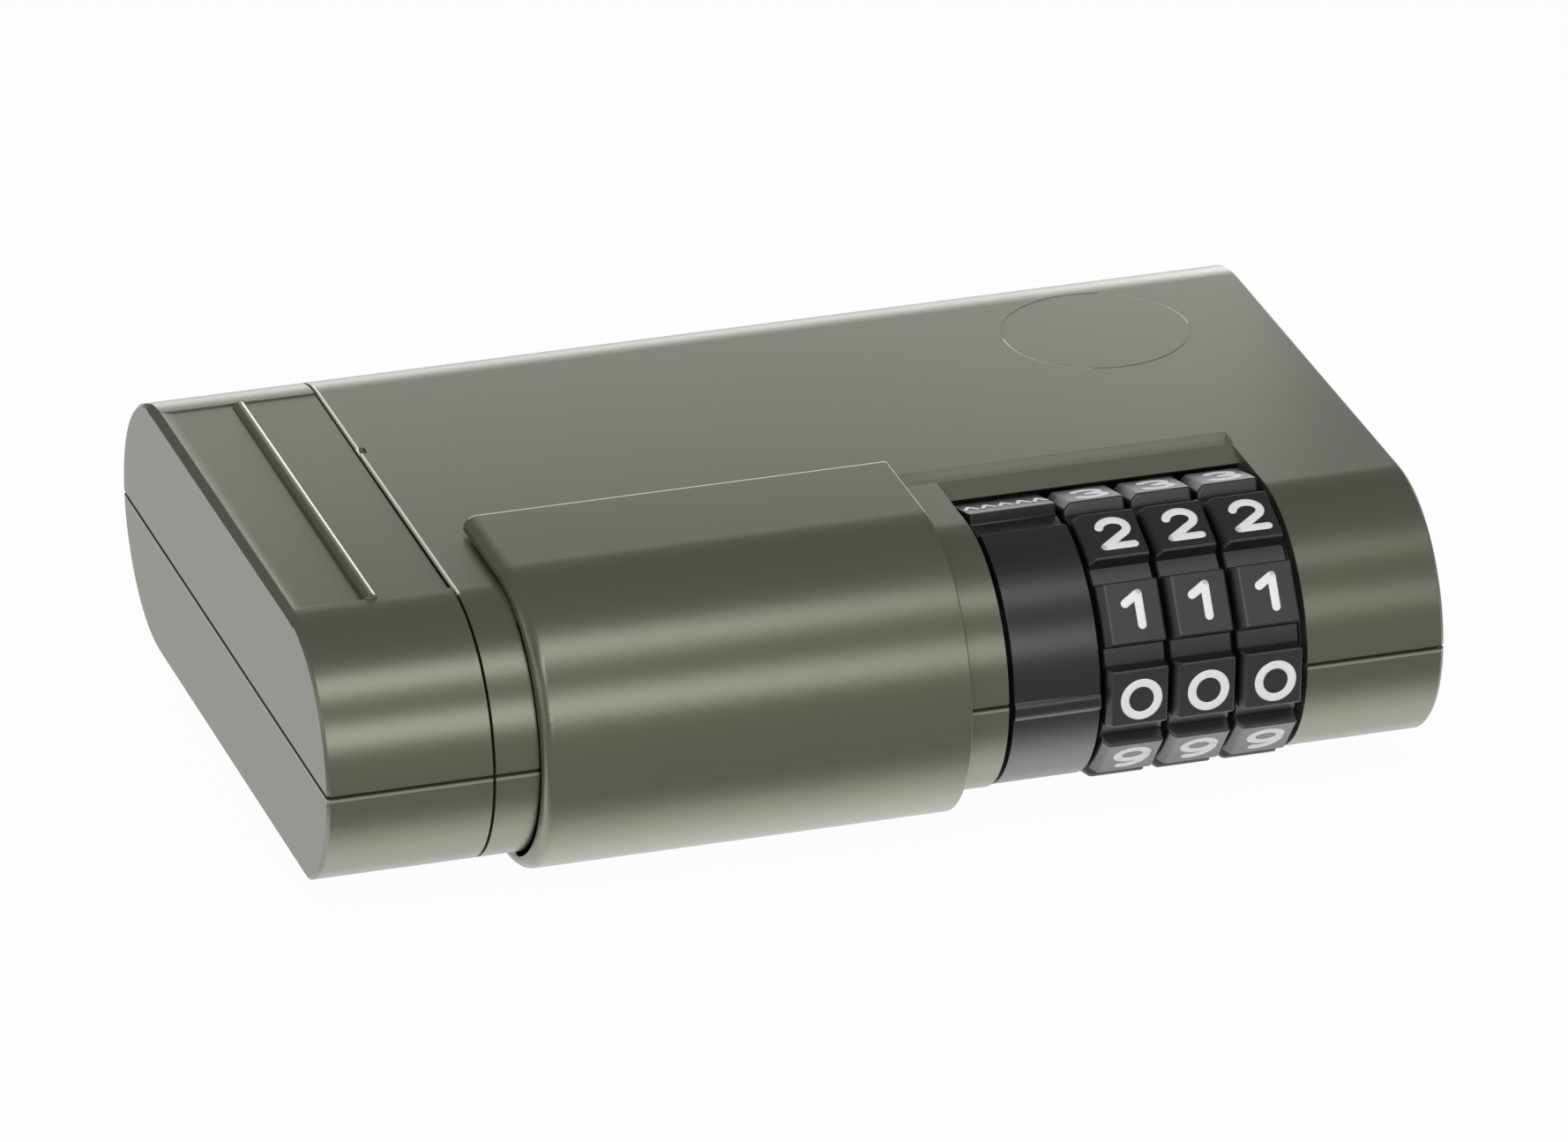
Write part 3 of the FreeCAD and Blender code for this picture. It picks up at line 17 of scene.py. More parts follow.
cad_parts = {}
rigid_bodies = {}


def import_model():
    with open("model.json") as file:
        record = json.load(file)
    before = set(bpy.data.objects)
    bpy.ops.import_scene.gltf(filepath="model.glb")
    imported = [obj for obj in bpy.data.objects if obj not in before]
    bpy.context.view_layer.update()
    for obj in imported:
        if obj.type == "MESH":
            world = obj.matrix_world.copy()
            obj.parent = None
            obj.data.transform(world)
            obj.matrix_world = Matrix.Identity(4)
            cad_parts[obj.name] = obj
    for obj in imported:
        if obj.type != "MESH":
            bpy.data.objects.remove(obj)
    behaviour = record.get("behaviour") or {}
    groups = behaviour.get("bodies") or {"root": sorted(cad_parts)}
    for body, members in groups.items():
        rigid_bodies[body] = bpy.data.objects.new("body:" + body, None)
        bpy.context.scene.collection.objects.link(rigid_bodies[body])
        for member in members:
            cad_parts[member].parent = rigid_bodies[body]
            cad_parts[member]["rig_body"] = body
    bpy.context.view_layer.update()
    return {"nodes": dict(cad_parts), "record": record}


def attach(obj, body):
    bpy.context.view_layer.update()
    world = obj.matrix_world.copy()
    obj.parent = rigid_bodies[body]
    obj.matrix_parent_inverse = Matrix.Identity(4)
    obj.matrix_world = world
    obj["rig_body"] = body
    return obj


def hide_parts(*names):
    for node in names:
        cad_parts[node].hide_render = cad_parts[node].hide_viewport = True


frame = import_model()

nodes = frame["nodes"]
scene = bpy.context.scene
print("solids in the frame:", len(nodes))

# %% [markdown]
# ## One set of sizes
#
# The box was drawn in millimetres from its left front lower corner, and the frame is in metres around the
# middle of the magnets' faces. One small function turns the first into the second, so that every later cell
# can think in millimetres on the real box. The wheels turn about one axle, so a second function takes an
# angle that counts up from the front, and a radius.

# %% Sizes and places
MM = 0.001
LENGTH = 117.1
DEPTH_MIDDLE = 38.6
STAND = 4.0
AXLE_Y = 14.1
AXLE_Z = 12.9
# from the axle to the corners of the wheels' pads
CREST = 14.55
DIAL_WIDTH = 6.5
DIAL_LEFTS = (81.2, 88.3, 95.4)
PADS = 10
DIGIT_STEP = 360 / PADS
# how far below the level of the axle the digit in front stands, in degrees
DIAL_TILT = 4.6


def place(x, y, z):
    """A point of the box, in millimetres from its corner, as metres in the frame."""
    return Vector((x - LENGTH / 2, y - DEPTH_MIDDLE, z + STAND)) * MM


def around_axle(x, radius, angle):
    """A point at an angle up from the front, around the wheels' axle."""
    turn = math.radians(angle)
    return place(x, AXLE_Y - radius * math.cos(turn), AXLE_Z + radius * math.sin(turn))


print("axle at", [round(value, 4) for value in place(0, AXLE_Y, AXLE_Z)])

# %% [markdown]
# ## The camera
#
# A product shot of a small box is taken from far away with a long lens, so that its edges stay nearly
# parallel. The camera stands a metre and a half away, a little to the left of the front and 24 degrees above
# the table. Its three axes are worked out from those angles and written into its matrix, which is exact,
# where a Track To constraint would leave the roll open.

# %% Camera
CAMERA_TURN = math.radians(-16.878)
CAMERA_RISE = math.radians(24.290)
CAMERA_ROLL = math.radians(-0.4916)
CAMERA_DISTANCE = 1520.2
CAMERA_AIM = (58.0, 32.0, 13.5)
FRAME_WIDTH = 1778
PIXELS_PER_MM = 11.135
# how far the aim lies to the right of the frame's middle and above it, in millimetres
AIM_RIGHT = 0.839
AIM_UP = -1.947

back = Vector((
    math.sin(CAMERA_TURN) * math.cos(CAMERA_RISE),
    -math.cos(CAMERA_TURN) * math.cos(CAMERA_RISE),
    math.sin(CAMERA_RISE),
))
level = Vector((math.cos(CAMERA_TURN), math.sin(CAMERA_TURN), 0))
steep = back.cross(level)
right = math.cos(CAMERA_ROLL) * level + math.sin(CAMERA_ROLL) * steep
up = math.cos(CAMERA_ROLL) * steep - math.sin(CAMERA_ROLL) * level

camera_data = bpy.data.cameras.new("camera")
camera_data.sensor_width = 36.0
camera_data.lens = PIXELS_PER_MM * CAMERA_DISTANCE / FRAME_WIDTH * camera_data.sensor_width
camera_data.clip_start = 0.05
camera_data.clip_end = 20.0
camera = bpy.data.objects.new("camera", camera_data)
scene.collection.objects.link(camera)
spot = place(*CAMERA_AIM) + (back * CAMERA_DISTANCE - right * AIM_RIGHT - up * AIM_UP) * MM
camera.matrix_world = Matrix.Translation(spot) @ Matrix((right, up, back)).transposed().to_4x4()
scene.camera = camera
print("lens:", round(camera_data.lens, 1), "mm, camera at", [round(value, 3) for value in spot])

# %% [markdown]
# ## Table, lamps and world
#
# Satin plastic shows mostly what surrounds it, so the surroundings are built like a small studio. Two long
# soft boxes in front of the box give its round edge two bright bands with a dark band between them. Two cards
# stand low behind it: a tall dim one lights the flat top at a grazing angle, and a low bright one makes the
# back edge nearly white. Narrow edges that lean to the right see a third card, behind on the right, which
# draws thin lines of light on them. A fourth card fills the left side.
#
# The table is white to the camera. In reflections it is white under the box and darker in front of it, as if
# a black card lay there. A Color Ramp along Y holds those levels, and Light Path's Is Glossy Ray picks them.
# From below the table is clear, so that the underside of the box can be looked at. The world is a dim even
# grey for the object and a light grey for the camera.

# %% Small helpers for node trees
def new_material(name):
    """An empty node material, with its tree and its output node."""
    material = bpy.data.materials.new(name)
    material.use_nodes = True
    tree = material.node_tree
    tree.nodes.clear()
    return material, tree, tree.nodes.new("ShaderNodeOutputMaterial")


def add(tree, kind, **settings):
    """A node of that kind with its settings."""
    node = tree.nodes.new(kind)
    for key, value in settings.items():
        setattr(node, key, value)
    return node


# %% Table
TABLE_SIZE = 6.0
TABLE_DROP = 0.05
TABLE_WHITE = 0.97
GLOW_NEAR = -0.055
GLOW_FAR = -0.025
GLOW_LEVELS = ((0.0, 0.19), (0.13, 0.19), (0.30, 0.36), (0.43, 0.74), (0.57, 0.97), (0.67, 0.93),
               (0.80, 0.62), (0.90, 0.56), (1.0, 0.42))
GLOW_STRENGTH = 2.4
table_mesh = bpy.data.meshes.new("table")
half_table = TABLE_SIZE / 2
table_mesh.from_pydata(
    [(x * half_table, y * half_table, -TABLE_DROP * MM) for x, y in ((-1, -1), (1, -1), (1, 1), (-1, 1))],
    [], [(0, 1, 2, 3)])
table = bpy.data.objects.new("table", table_mesh)
scene.collection.objects.link(table)

# %% The table's finish
paper, tree, output = new_material("table_paper")
coordinates = add(tree, "ShaderNodeTexCoord")
split = add(tree, "ShaderNodeSeparateXYZ")
tree.links.new(coordinates.outputs["Object"], split.inputs[0])
across = add(tree, "ShaderNodeMapRange")
across.inputs["From Min"].default_value = GLOW_NEAR
across.inputs["From Max"].default_value = GLOW_FAR
tree.links.new(split.outputs["Y"], across.inputs["Value"])
glow = add(tree, "ShaderNodeValToRGB")
stops = glow.color_ramp.elements
for position, _ in GLOW_LEVELS[1:-1]:
    stops.new(position)
for stop, (_, level) in zip(stops, GLOW_LEVELS):
    stop.color = (level, level, level, 1)
tree.links.new(across.outputs["Result"], glow.inputs["Fac"])
strength = add(tree, "ShaderNodeMath", operation="MULTIPLY")
strength.inputs[1].default_value = GLOW_STRENGTH
tree.links.new(glow.outputs["Color"], strength.inputs[0])
rays = add(tree, "ShaderNodeLightPath")
mirrored = add(tree, "ShaderNodeEmission")
tree.links.new(strength.outputs[0], mirrored.inputs["Strength"])
matte = add(tree, "ShaderNodeBsdfDiffuse")
matte.inputs["Color"].default_value = (0.8, 0.8, 0.8, 1)
white = add(tree, "ShaderNodeEmission")
seen = add(tree, "ShaderNodeMixShader")
seen.inputs["Fac"].default_value = TABLE_WHITE
tree.links.new(matte.outputs[0], seen.inputs[1])
tree.links.new(white.outputs[0], seen.inputs[2])
for_glossy = add(tree, "ShaderNodeMixShader")
tree.links.new(rays.outputs["Is Glossy Ray"], for_glossy.inputs["Fac"])
tree.links.new(matte.outputs[0], for_glossy.inputs[1])
tree.links.new(mirrored.outputs[0], for_glossy.inputs[2])
for_camera = add(tree, "ShaderNodeMixShader")
tree.links.new(rays.outputs["Is Camera Ray"], for_camera.inputs["Fac"])
tree.links.new(for_glossy.outputs[0], for_camera.inputs[1])
tree.links.new(seen.outputs[0], for_camera.inputs[2])
side = add(tree, "ShaderNodeNewGeometry")
clear = add(tree, "ShaderNodeBsdfTransparent")
one_sided = add(tree, "ShaderNodeMixShader")
tree.links.new(side.outputs["Backfacing"], one_sided.inputs["Fac"])
tree.links.new(for_camera.outputs[0], one_sided.inputs[1])
tree.links.new(clear.outputs[0], one_sided.inputs[2])
tree.links.new(one_sided.outputs[0], output.inputs["Surface"])
table_mesh.materials.append(paper)
print("table:", TABLE_SIZE, "m wide, levels of its glow:", [level for _, level in GLOW_LEVELS])

# %% World
ROOM_LEVEL = 0.30
world = bpy.data.worlds.new("studio")
scene.world = world
world.use_nodes = True
tree = world.node_tree
tree.nodes.clear()
world_output = add(tree, "ShaderNodeOutputWorld")
rays = add(tree, "ShaderNodeLightPath")
room = add(tree, "ShaderNodeBackground")
room.inputs["Strength"].default_value = ROOM_LEVEL
sky = add(tree, "ShaderNodeBackground")
choose = add(tree, "ShaderNodeMixShader")
tree.links.new(rays.outputs["Is Camera Ray"], choose.inputs["Fac"])
tree.links.new(room.outputs[0], choose.inputs[1])
tree.links.new(sky.outputs[0], choose.inputs[2])
tree.links.new(choose.outputs[0], world_output.inputs["Surface"])
scene.view_settings.view_transform = "Standard"
print("world: strength", ROOM_LEVEL, "for the object,", sky.inputs["Strength"].default_value, "for the camera")


# %% Soft boxes
def soft_box(name, aim, direction, distance, width, height, brightness):
    """A rectangular lamp at a distance along a direction, facing its aim, equally bright at any size."""
    data = bpy.data.lights.new(name, "AREA")
    data.shape = "RECTANGLE"
    data.size = width
    data.size_y = height
    data.energy = brightness * math.pi * width * height
    lamp = bpy.data.objects.new(name, data)
    scene.collection.objects.link(lamp)
    toward = Vector(direction).normalized()
    turn = toward.to_track_quat("Z", "Y").to_matrix().to_4x4()
    lamp.matrix_world = Matrix.Translation(aim + toward * distance) @ turn
    lamp.visible_camera = False
    return lamp


def front_direction(rise):
    """A direction out of the front of the box and a little to the right, at a rise in degrees."""
    turn = math.radians(rise)
    return (0.27, -math.cos(turn), math.sin(turn))


FRONT_AIM = place(-218, 4, 16)
BACKWARD = (0, 1, 0)
soft_box("low_box", FRONT_AIM, front_direction(20.5), 0.7, 0.62, 0.19, 4.4)
soft_box("high_box", FRONT_AIM, front_direction(57.5), 0.7, 0.62, 0.18, 4.4)
soft_box("back_card", place(81, 60, 67), BACKWARD, 0.085, 0.14, 0.044, 0.78)
soft_box("edge_card", place(81, 60, 34), BACKWARD, 0.085, 0.14, 0.022, 2.4)
soft_box("line_card", place(17, 40, 27), (0.467, 0.878, 0.105), 1.0, 0.16, 0.21, 6.0)
soft_box("left_card", place(0, 40, 60), (-1, 0, 0.15), 0.4, 0.5, 0.2, 1.0)
print("lamps:", [light.name for light in bpy.data.lights])

# %% [markdown]
# ## Materials
#
# The case is moulded in an olive grey plastic with a little metallic pigment, so part of what it reflects
# takes its colour. A fine spark-eroded grain breaks the reflection. It is a noise bump at a tenth of a
# millimetre, so it reads Object coordinates and stays with the piece as it moves. Values that are the same
# everywhere are typed into the shader itself.
#
# A few small areas are painted in another colour and roughness. Painted shade darkens the seam's groove.
# Painted highlights lighten the seam's lower lip, two edges, two arcs of the ring mark, the slope above the
# window and the channel for the cover's hook, which is also left duller. An image could mark them, but each
# fits in a block of space. Three Math nodes compare the point's X, Y and Z with the block, and their product
# mixes in the other finish.

# %% Case plastic
GLOSS_SPREAD = 0.008


def grained(name, colour, spread, roughness, metallic=0.0, grain=9000.0, depth=0.02, specular=0.5):
    """A moulded finish: a colour with slight cloudy variation, and a fine grain as bump."""
    material, tree, output = new_material(name)
    shader = add(tree, "ShaderNodeBsdfPrincipled")
    shader.inputs["Metallic"].default_value = metallic
    shader.inputs["Specular IOR Level"].default_value = specular
    coordinates = add(tree, "ShaderNodeTexCoord")
    cloud = add(tree, "ShaderNodeTexNoise")
    cloud.inputs["Scale"].default_value = 90.0
    cloud.inputs["Detail"].default_value = 3.0
    tint = add(tree, "ShaderNodeMix", data_type="RGBA")
    for socket, share in ((tint.inputs["A"], 1 - 2 * spread), (tint.inputs["B"], 1 + 2 * spread)):
        socket.default_value = (*(channel * share for channel in colour), 1)
    fine = add(tree, "ShaderNodeTexNoise")
    fine.inputs["Scale"].default_value = grain
    fine.inputs["Detail"].default_value = 2.0
    gloss = add(tree, "ShaderNodeMapRange")
    gloss.inputs["To Min"].default_value = roughness - GLOSS_SPREAD
    gloss.inputs["To Max"].default_value = roughness + GLOSS_SPREAD
    bump = add(tree, "ShaderNodeBump")
    bump.inputs["Strength"].default_value = 0.35
    bump.inputs["Distance"].default_value = depth * MM
    for texture in (cloud, fine):
        tree.links.new(coordinates.outputs["Object"], texture.inputs["Vector"])
    tree.links.new(cloud.outputs["Fac"], tint.inputs["Factor"])
    tree.links.new(tint.outputs["Result"], shader.inputs["Base Color"])
    tree.links.new(cloud.outputs["Fac"], gloss.inputs["Value"])
    tree.links.new(gloss.outputs["Result"], shader.inputs["Roughness"])
    tree.links.new(fine.outputs["Fac"], bump.inputs["Height"])
    tree.links.new(bump.outputs["Normal"], shader.inputs["Normal"])
    tree.links.new(shader.outputs[0], output.inputs["Surface"])
    return material


# %% Patches in a finish
def with_patch(material, corner, opposite, colour, roughness):
    """Give a finish another colour and roughness inside a block between two opposite corners."""
    tree = material.node_tree
    shader = next(node for node in tree.nodes if node.type == "BSDF_PRINCIPLED")
    coordinates = add(tree, "ShaderNodeTexCoord")
    split = add(tree, "ShaderNodeSeparateXYZ")
    tree.links.new(coordinates.outputs["Object"], split.inputs[0])
    mask = None
    for axis, low, high in zip("XYZ", place(*corner), place(*opposite)):
        check = add(tree, "ShaderNodeMath", operation="COMPARE")
        check.inputs[1].default_value = (low + high) / 2
        check.inputs[2].default_value = (high - low) / 2
        tree.links.new(split.outputs[axis], check.inputs[0])
        if mask:
            both = add(tree, "ShaderNodeMath", operation="MULTIPLY")
            tree.links.new(mask.outputs[0], both.inputs[0])
            tree.links.new(check.outputs[0], both.inputs[1])
            mask = both
        else:
            mask = check
    for label, kind, value in (("Base Color", "RGBA", (*colour, 1)), ("Roughness", "FLOAT", roughness)):
        change = add(tree, "ShaderNodeMix", data_type=kind)
        first, second = [socket for socket in change.inputs if socket.enabled and socket.name in "AB"]
        second.default_value = value
        tree.links.new(mask.outputs[0], change.inputs["Factor"])
        tree.links.new(shader.inputs[label].links[0].from_socket, first)
        tree.links.new(next(socket for socket in change.outputs if socket.enabled), shader.inputs[label])


# %% The case's finishes
# a near white painted highlight for edges
PAINTED_EDGE_HIGHLIGHT = (0.95, 0.95, 0.88)
# a light grey painted highlight for two arcs of the ring mark
PAINTED_ARC_HIGHLIGHT = (0.55, 0.55, 0.50)
CASE_PATCHES = {
    "case_plastic": (),
    "case_upper": (
        # the channel for the cover's hook, duller for its stipple, and the slope above the window, both
        # painted lighter as a painted highlight in place of the light that their walls block
        ((22, 24.1, 26), (102.9, 27.3, 26.97), (0.35, 0.35, 0.30), 0.6),
        ((71, 21, 25), (102.6, 24.1, 26.97), (0.20, 0.20, 0.16), 0.4),
        # the edge beside the drawer's head, with a painted highlight where light would catch it
        ((17.3, 13, 26.6), (17.65, 68, 27.1), PAINTED_EDGE_HIGHLIGHT, 0.6),
        # a painted highlight on two opposite arcs of the ring mark
        ((88.3, 45.9, 26.95), (95.1, 57, 26.98), PAINTED_ARC_HIGHLIGHT, 0.4),
        ((101.7, 55, 26.95), (108.5, 66.1, 26.98), PAINTED_ARC_HIGHLIGHT, 0.4),
    ),
    "case_lower": (
        # painted shade in the seam's groove, and a painted highlight on its lower lip
        ((-1, -2, 12.45), (120, 80, 12.91), (0.10, 0.10, 0.08), 0.6),
        ((-1, -2, 12.15), (120, 80, 12.449), (0.32, 0.32, 0.27), 0.4),
    ),
    # the cover's back edge, with a painted highlight
    "case_cover": (((20, 26.6, 28.6), (70, 27, 29), PAINTED_EDGE_HIGHLIGHT, 0.6),),
}
case_finishes = {}
for name, patches in CASE_PATCHES.items():
    case_finishes[name] = grained(name, (0.150, 0.150, 0.112), 0.015, 0.286, metallic=0.5)
    for patch in patches:
        with_patch(case_finishes[name], *patch)
print("patches:", {name: len(patches) for name, patches in CASE_PATCHES.items()})

# %% Black plastic, zinc, magnets, foam and paint
dial_black = grained("dial_black", (0.009, 0.009, 0.009), 0.15, 0.33, grain=6000.0, depth=0.01, specular=0.7)
pad_black = grained("pad_black", (0.009, 0.009, 0.009), 0.15, 0.40, grain=6000.0, depth=0.01, specular=0.8)
hub_plastic = grained("hub_plastic", (0.55, 0.53, 0.47), 0.03, 0.45)
chassis_zinc = grained("chassis_zinc", (0.45, 0.45, 0.46), 0.06, 0.42, metallic=0.9, grain=3000.0)
magnet_ferrite = grained("magnet_ferrite", (0.055, 0.055, 0.06), 0.25, 0.55, grain=2500.0, depth=0.05)
foam = grained("foam", (0.04, 0.04, 0.045), 0.3, 0.9, grain=1500.0, depth=0.25, specular=0.2)
digit_white = grained("digit_white", (0.92, 0.93, 0.95), 0.02, 0.5, grain=5000.0, depth=0.005)


# %% Steel
LINE_SPREAD = 0.08


def turned_steel(name, colour, roughness):
    """Steel with fine tool marks across its length: a noise that is squeezed along X."""
    material, tree, output = new_material(name)
    shader = add(tree, "ShaderNodeBsdfPrincipled")
    shader.inputs["Base Color"].default_value = (*colour, 1)
    shader.inputs["Metallic"].default_value = 1.0
    coordinates = add(tree, "ShaderNodeTexCoord")
    squeeze = add(tree, "ShaderNodeMapping")
    squeeze.inputs["Scale"].default_value = (4000.0, 300.0, 300.0)
    lines = add(tree, "ShaderNodeTexNoise")
    lines.inputs["Scale"].default_value = 1.0
    gloss = add(tree, "ShaderNodeMapRange")
    gloss.inputs["To Min"].default_value = roughness - LINE_SPREAD
    gloss.inputs["To Max"].default_value = roughness + LINE_SPREAD
    bump = add(tree, "ShaderNodeBump")
    bump.inputs["Strength"].default_value = 0.3
    bump.inputs["Distance"].default_value = 0.01 * MM
    tree.links.new(coordinates.outputs["Object"], squeeze.inputs["Vector"])
    tree.links.new(squeeze.outputs["Vector"], lines.inputs["Vector"])
    tree.links.new(lines.outputs["Fac"], gloss.inputs["Value"])
    tree.links.new(gloss.outputs["Result"], shader.inputs["Roughness"])
    tree.links.new(lines.outputs["Fac"], bump.inputs["Height"])
    tree.links.new(bump.outputs["Normal"], shader.inputs["Normal"])
    tree.links.new(shader.outputs[0], output.inputs["Surface"])
    return material


lock_steel = turned_steel("lock_steel", (0.62, 0.61, 0.59), 0.30)
screw_steel = turned_steel("screw_steel", (0.52, 0.52, 0.53), 0.35)
keeper_steel = turned_steel("keeper_steel", (0.55, 0.55, 0.56), 0.40)

# %% Finishes on the solids
FINISHES = {
    "case_plastic": case_finishes["case_plastic"], "dial_black": dial_black, "hub_plastic": hub_plastic,
    "chassis_zinc": chassis_zinc, "lock_steel": lock_steel, "screw_steel": screw_steel,
    "keeper_steel": keeper_steel, "magnet_ferrite": magnet_ferrite, "foam": foam,
}
slots = {entry["node"]: entry["material_slot"] for entry in frame["record"]["subparts"]}
for name, node in nodes.items():
    node.data.materials.clear()
    node.data.materials.append(FINISHES[slots[name]])
print("finishes on the frame's solids:", sorted(set(slots.values())))

# %% [markdown]
# ## Soft edges
#
# A moulded piece has no knife edges: every corner is rounded a little, and the rounding catches a thin line
# of light. The solids come in as triangles with sharp corners, and their mesh is split wherever two faces
# meet, so that a Bevel modifier would find no edge to round. So a copy of each solid of the casing is merged,
# its flat triangles are joined to whole faces, and its sharp edges are rounded in the mesh itself.
#
# Smooth shading averages the normals of the faces that meet in a corner, and a bright band on satin plastic
# shows every error in them. A Weighted Normal modifier lets the large flat faces win. On the round front and
# back edges of the box the right normal is known, because it points away from the axis of the rounding, so
# it is written into the mesh.

# %% Even shading
ROUND_EDGES = ((AXLE_Y, AXLE_Z, -1), (65.6, 13.5, 1))
SMALLEST_RADIUS = 13
# how far a face may lean from the radial or the known normal and still take it, in radians
RADIAL_WITHIN = math.radians(2.5)
EXACT_WITHIN = 0.4


def weighted(mesh):
    """The mesh with normals that follow its large faces, so that flat faces shade flat next to a rounding."""
    holder = bpy.data.objects.new(mesh.name, mesh)
    scene.collection.objects.link(holder)
    modifier = holder.modifiers.new("normals", "WEIGHTED_NORMAL")
    modifier.keep_sharp = True
    bpy.context.view_layer.update()
    result = bpy.data.meshes.new_from_object(holder.evaluated_get(bpy.context.evaluated_depsgraph_get()))
    result.name = mesh.name
    bpy.data.objects.remove(holder)
    bpy.data.meshes.remove(mesh)
    return result


def rounded_normals(mesh, exact=None):
    """Make the normals radial on the round front and back edges, and as another rule says elsewhere."""
    normals = [corner.vector.copy() for corner in mesh.corner_normals]
    for face in mesh.polygons:
        corners = {corner: mesh.vertices[mesh.loops[corner].vertex_index].co for corner in face.loop_indices}
        ruled = exact and all(exact(point) for point in corners.values())
        if ruled and face.normal.angle(exact(face.center)) < EXACT_WITHIN:
            for corner, point in corners.items():
                normals[corner] = exact(point)
            continue
        for y, z, side in ROUND_EDGES:
            middle = place(0, y, z)
            arm = face.center - middle
            arm.x = 0
            outside = arm.y * side > 0 and arm.length >= SMALLEST_RADIUS * MM
            if not outside or face.normal.angle(arm, 9) > RADIAL_WITHIN:
                continue
            for corner, point in corners.items():
                spoke = point - middle
                spoke.x = 0
                normals[corner] = spoke.normalized()
    mesh.normals_split_custom_set(normals)
    return mesh


# %% A new piece
def new_piece(name, mesh, body, slot, *stands_for):
    """An object for a finished mesh that rides on a body and may stand for solids."""
    piece = bpy.data.objects.new(name, mesh)
    scene.collection.objects.link(piece)
    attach(piece, body)
    if stands_for:
        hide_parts(*stands_for)
    return piece


# %% Rounded copies
MERGE_WITHIN = 0.002
FLAT_WITHIN = math.radians(0.6)
ROUND_FROM = math.radians(40)
SHADE_SHARP_FROM = math.radians(32)
SHORTEST_ROUNDED = 0.05


def softened(node, width, finish, keep_sharp=None, reshape=None, exact=None):
    """A merged copy of a solid with its sharp edges rounded; it then stands for the solid."""
    mesh = bpy.data.meshes.new(f"{node}_soft")
    work = bmesh.new()
    work.from_mesh(nodes[node].data)
    bmesh.ops.remove_doubles(work, verts=work.verts, dist=MERGE_WITHIN * MM)
    bmesh.ops.dissolve_limit(work, angle_limit=FLAT_WITHIN, verts=work.verts, edges=work.edges)
    for vertex in work.verts if reshape else ():
        vertex.co = reshape(vertex.co)
    sharp = [edge for edge in work.edges if len(edge.link_faces) == 2
             and edge.calc_face_angle(0) > ROUND_FROM
             and edge.calc_length() > SHORTEST_ROUNDED * MM
             and not (keep_sharp and all(keep_sharp(vertex.co) for vertex in edge.verts))]
    bmesh.ops.bevel(work, geom=sharp, offset=width * MM, offset_type="OFFSET", segments=3,
                    profile=0.5, affect="EDGES", clamp_overlap=True)
    bmesh.ops.recalc_face_normals(work, faces=work.faces)
    for face in work.faces:
        face.smooth = True
    work.to_mesh(mesh)
    work.free()
    mesh.set_sharp_from_angle(angle=SHADE_SHARP_FROM)
    mesh.materials.append(case_finishes[finish])
    mesh = rounded_normals(weighted(mesh), exact)
    print(f"{node}: {len(sharp)} edges rounded, {len(mesh.polygons)} faces")
    return new_piece(f"{node}_soft", mesh, nodes[node]["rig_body"], slots[node], node)


# %% [markdown]
# ## The casing
#
# The casing is five pieces: two shells, the two halves of the drawer's head, and the sliding cover. One small
# rounding suits nearly all their edges. Two edges are softer: the cover's left rim, which a thumb pushes, and
# the slope along the end of the drawer's head. A second, larger bevel would run into its neighbours, so the
# points of these edges are moved before the rounding, each by a small function from a point to a point. On
# the rim the right normal is known too, as on any quarter round. The ring mark on the top is so fine that
# rounding would fill it, so it stays sharp, and it is made shallower.

# %% The cover's left rim
COVER_LEFT = 21.9
COVER_REACH = 16.0
NARROW_ROUND = 0.5
WIDE_ROUND = 1.35


def rim_place(point):
    """How far a point lies from the cover's left end and below its outer face, and which way is outward."""
    arm = point - place(COVER_LEFT, AXLE_Y, AXLE_Z)
    along = arm.x / MM
    arm.x = 0
    arm.y = min(arm.y, 0)
    return along, COVER_REACH - arm.length / MM, arm.normalized()


def wide_rim(point):
    """Move a point of the cover's rounded left edge to a rounding with a larger radius."""
    along, depth, outward = rim_place(point)
    if max(along, depth) > NARROW_ROUND + 0.01:
        return point
    return point + (Vector((along, 0, 0)) - outward * depth) * (WIDE_ROUND / NARROW_ROUND - 1) * MM


def rim_normal(point):
    """The normal of the larger rounding at a point, or nothing away from it."""
    along, depth, outward = rim_place(point)
    if max(along, depth) > WIDE_ROUND + 0.01:
        return None
    return (outward * (WIDE_ROUND - depth) - Vector((WIDE_ROUND - along, 0, 0))).normalized()


# %% The edges of the drawer's head
CASE_TOP = 27.0
PANEL_DEPTH = 0.5
PANEL_BACK = 64.5
STEP_LOWERED = 0.35
SLOPE_FOOT = (0.3, 0.45)
SLOPE_WIDENED = (0.4, 0.35)


def wide_edge(point):
    """Widen the slope along the head's left end, and lower the step behind the thumb panel."""
    corner = point - place(0, 0, CASE_TOP)
    if abs(corner.z + PANEL_DEPTH * MM) < 0.01 * MM and corner.y > PANEL_BACK * MM:
        return point + Vector((0, 0, STEP_LOWERED)) * MM
    if corner.x > SLOPE_FOOT[1] * MM or corner.z < -PANEL_DEPTH * MM:
        return point
    move = (SLOPE_WIDENED[0], 0, 0) if corner.x > SLOPE_FOOT[0] * MM else (0, 0, -SLOPE_WIDENED[1])
    return point + Vector(move) * MM


# %% Five rounded pieces
RING_MIDDLE = place(98.4, 56, CASE_TOP)
RING_REACH = 10.2
RING_DEPTH = 0.03
EDGE_ROUND = 0.2


def near_ring(point):
    """Whether a point belongs to the ring mark on the top, which stays sharp."""
    return (point - RING_MIDDLE).length < RING_REACH * MM


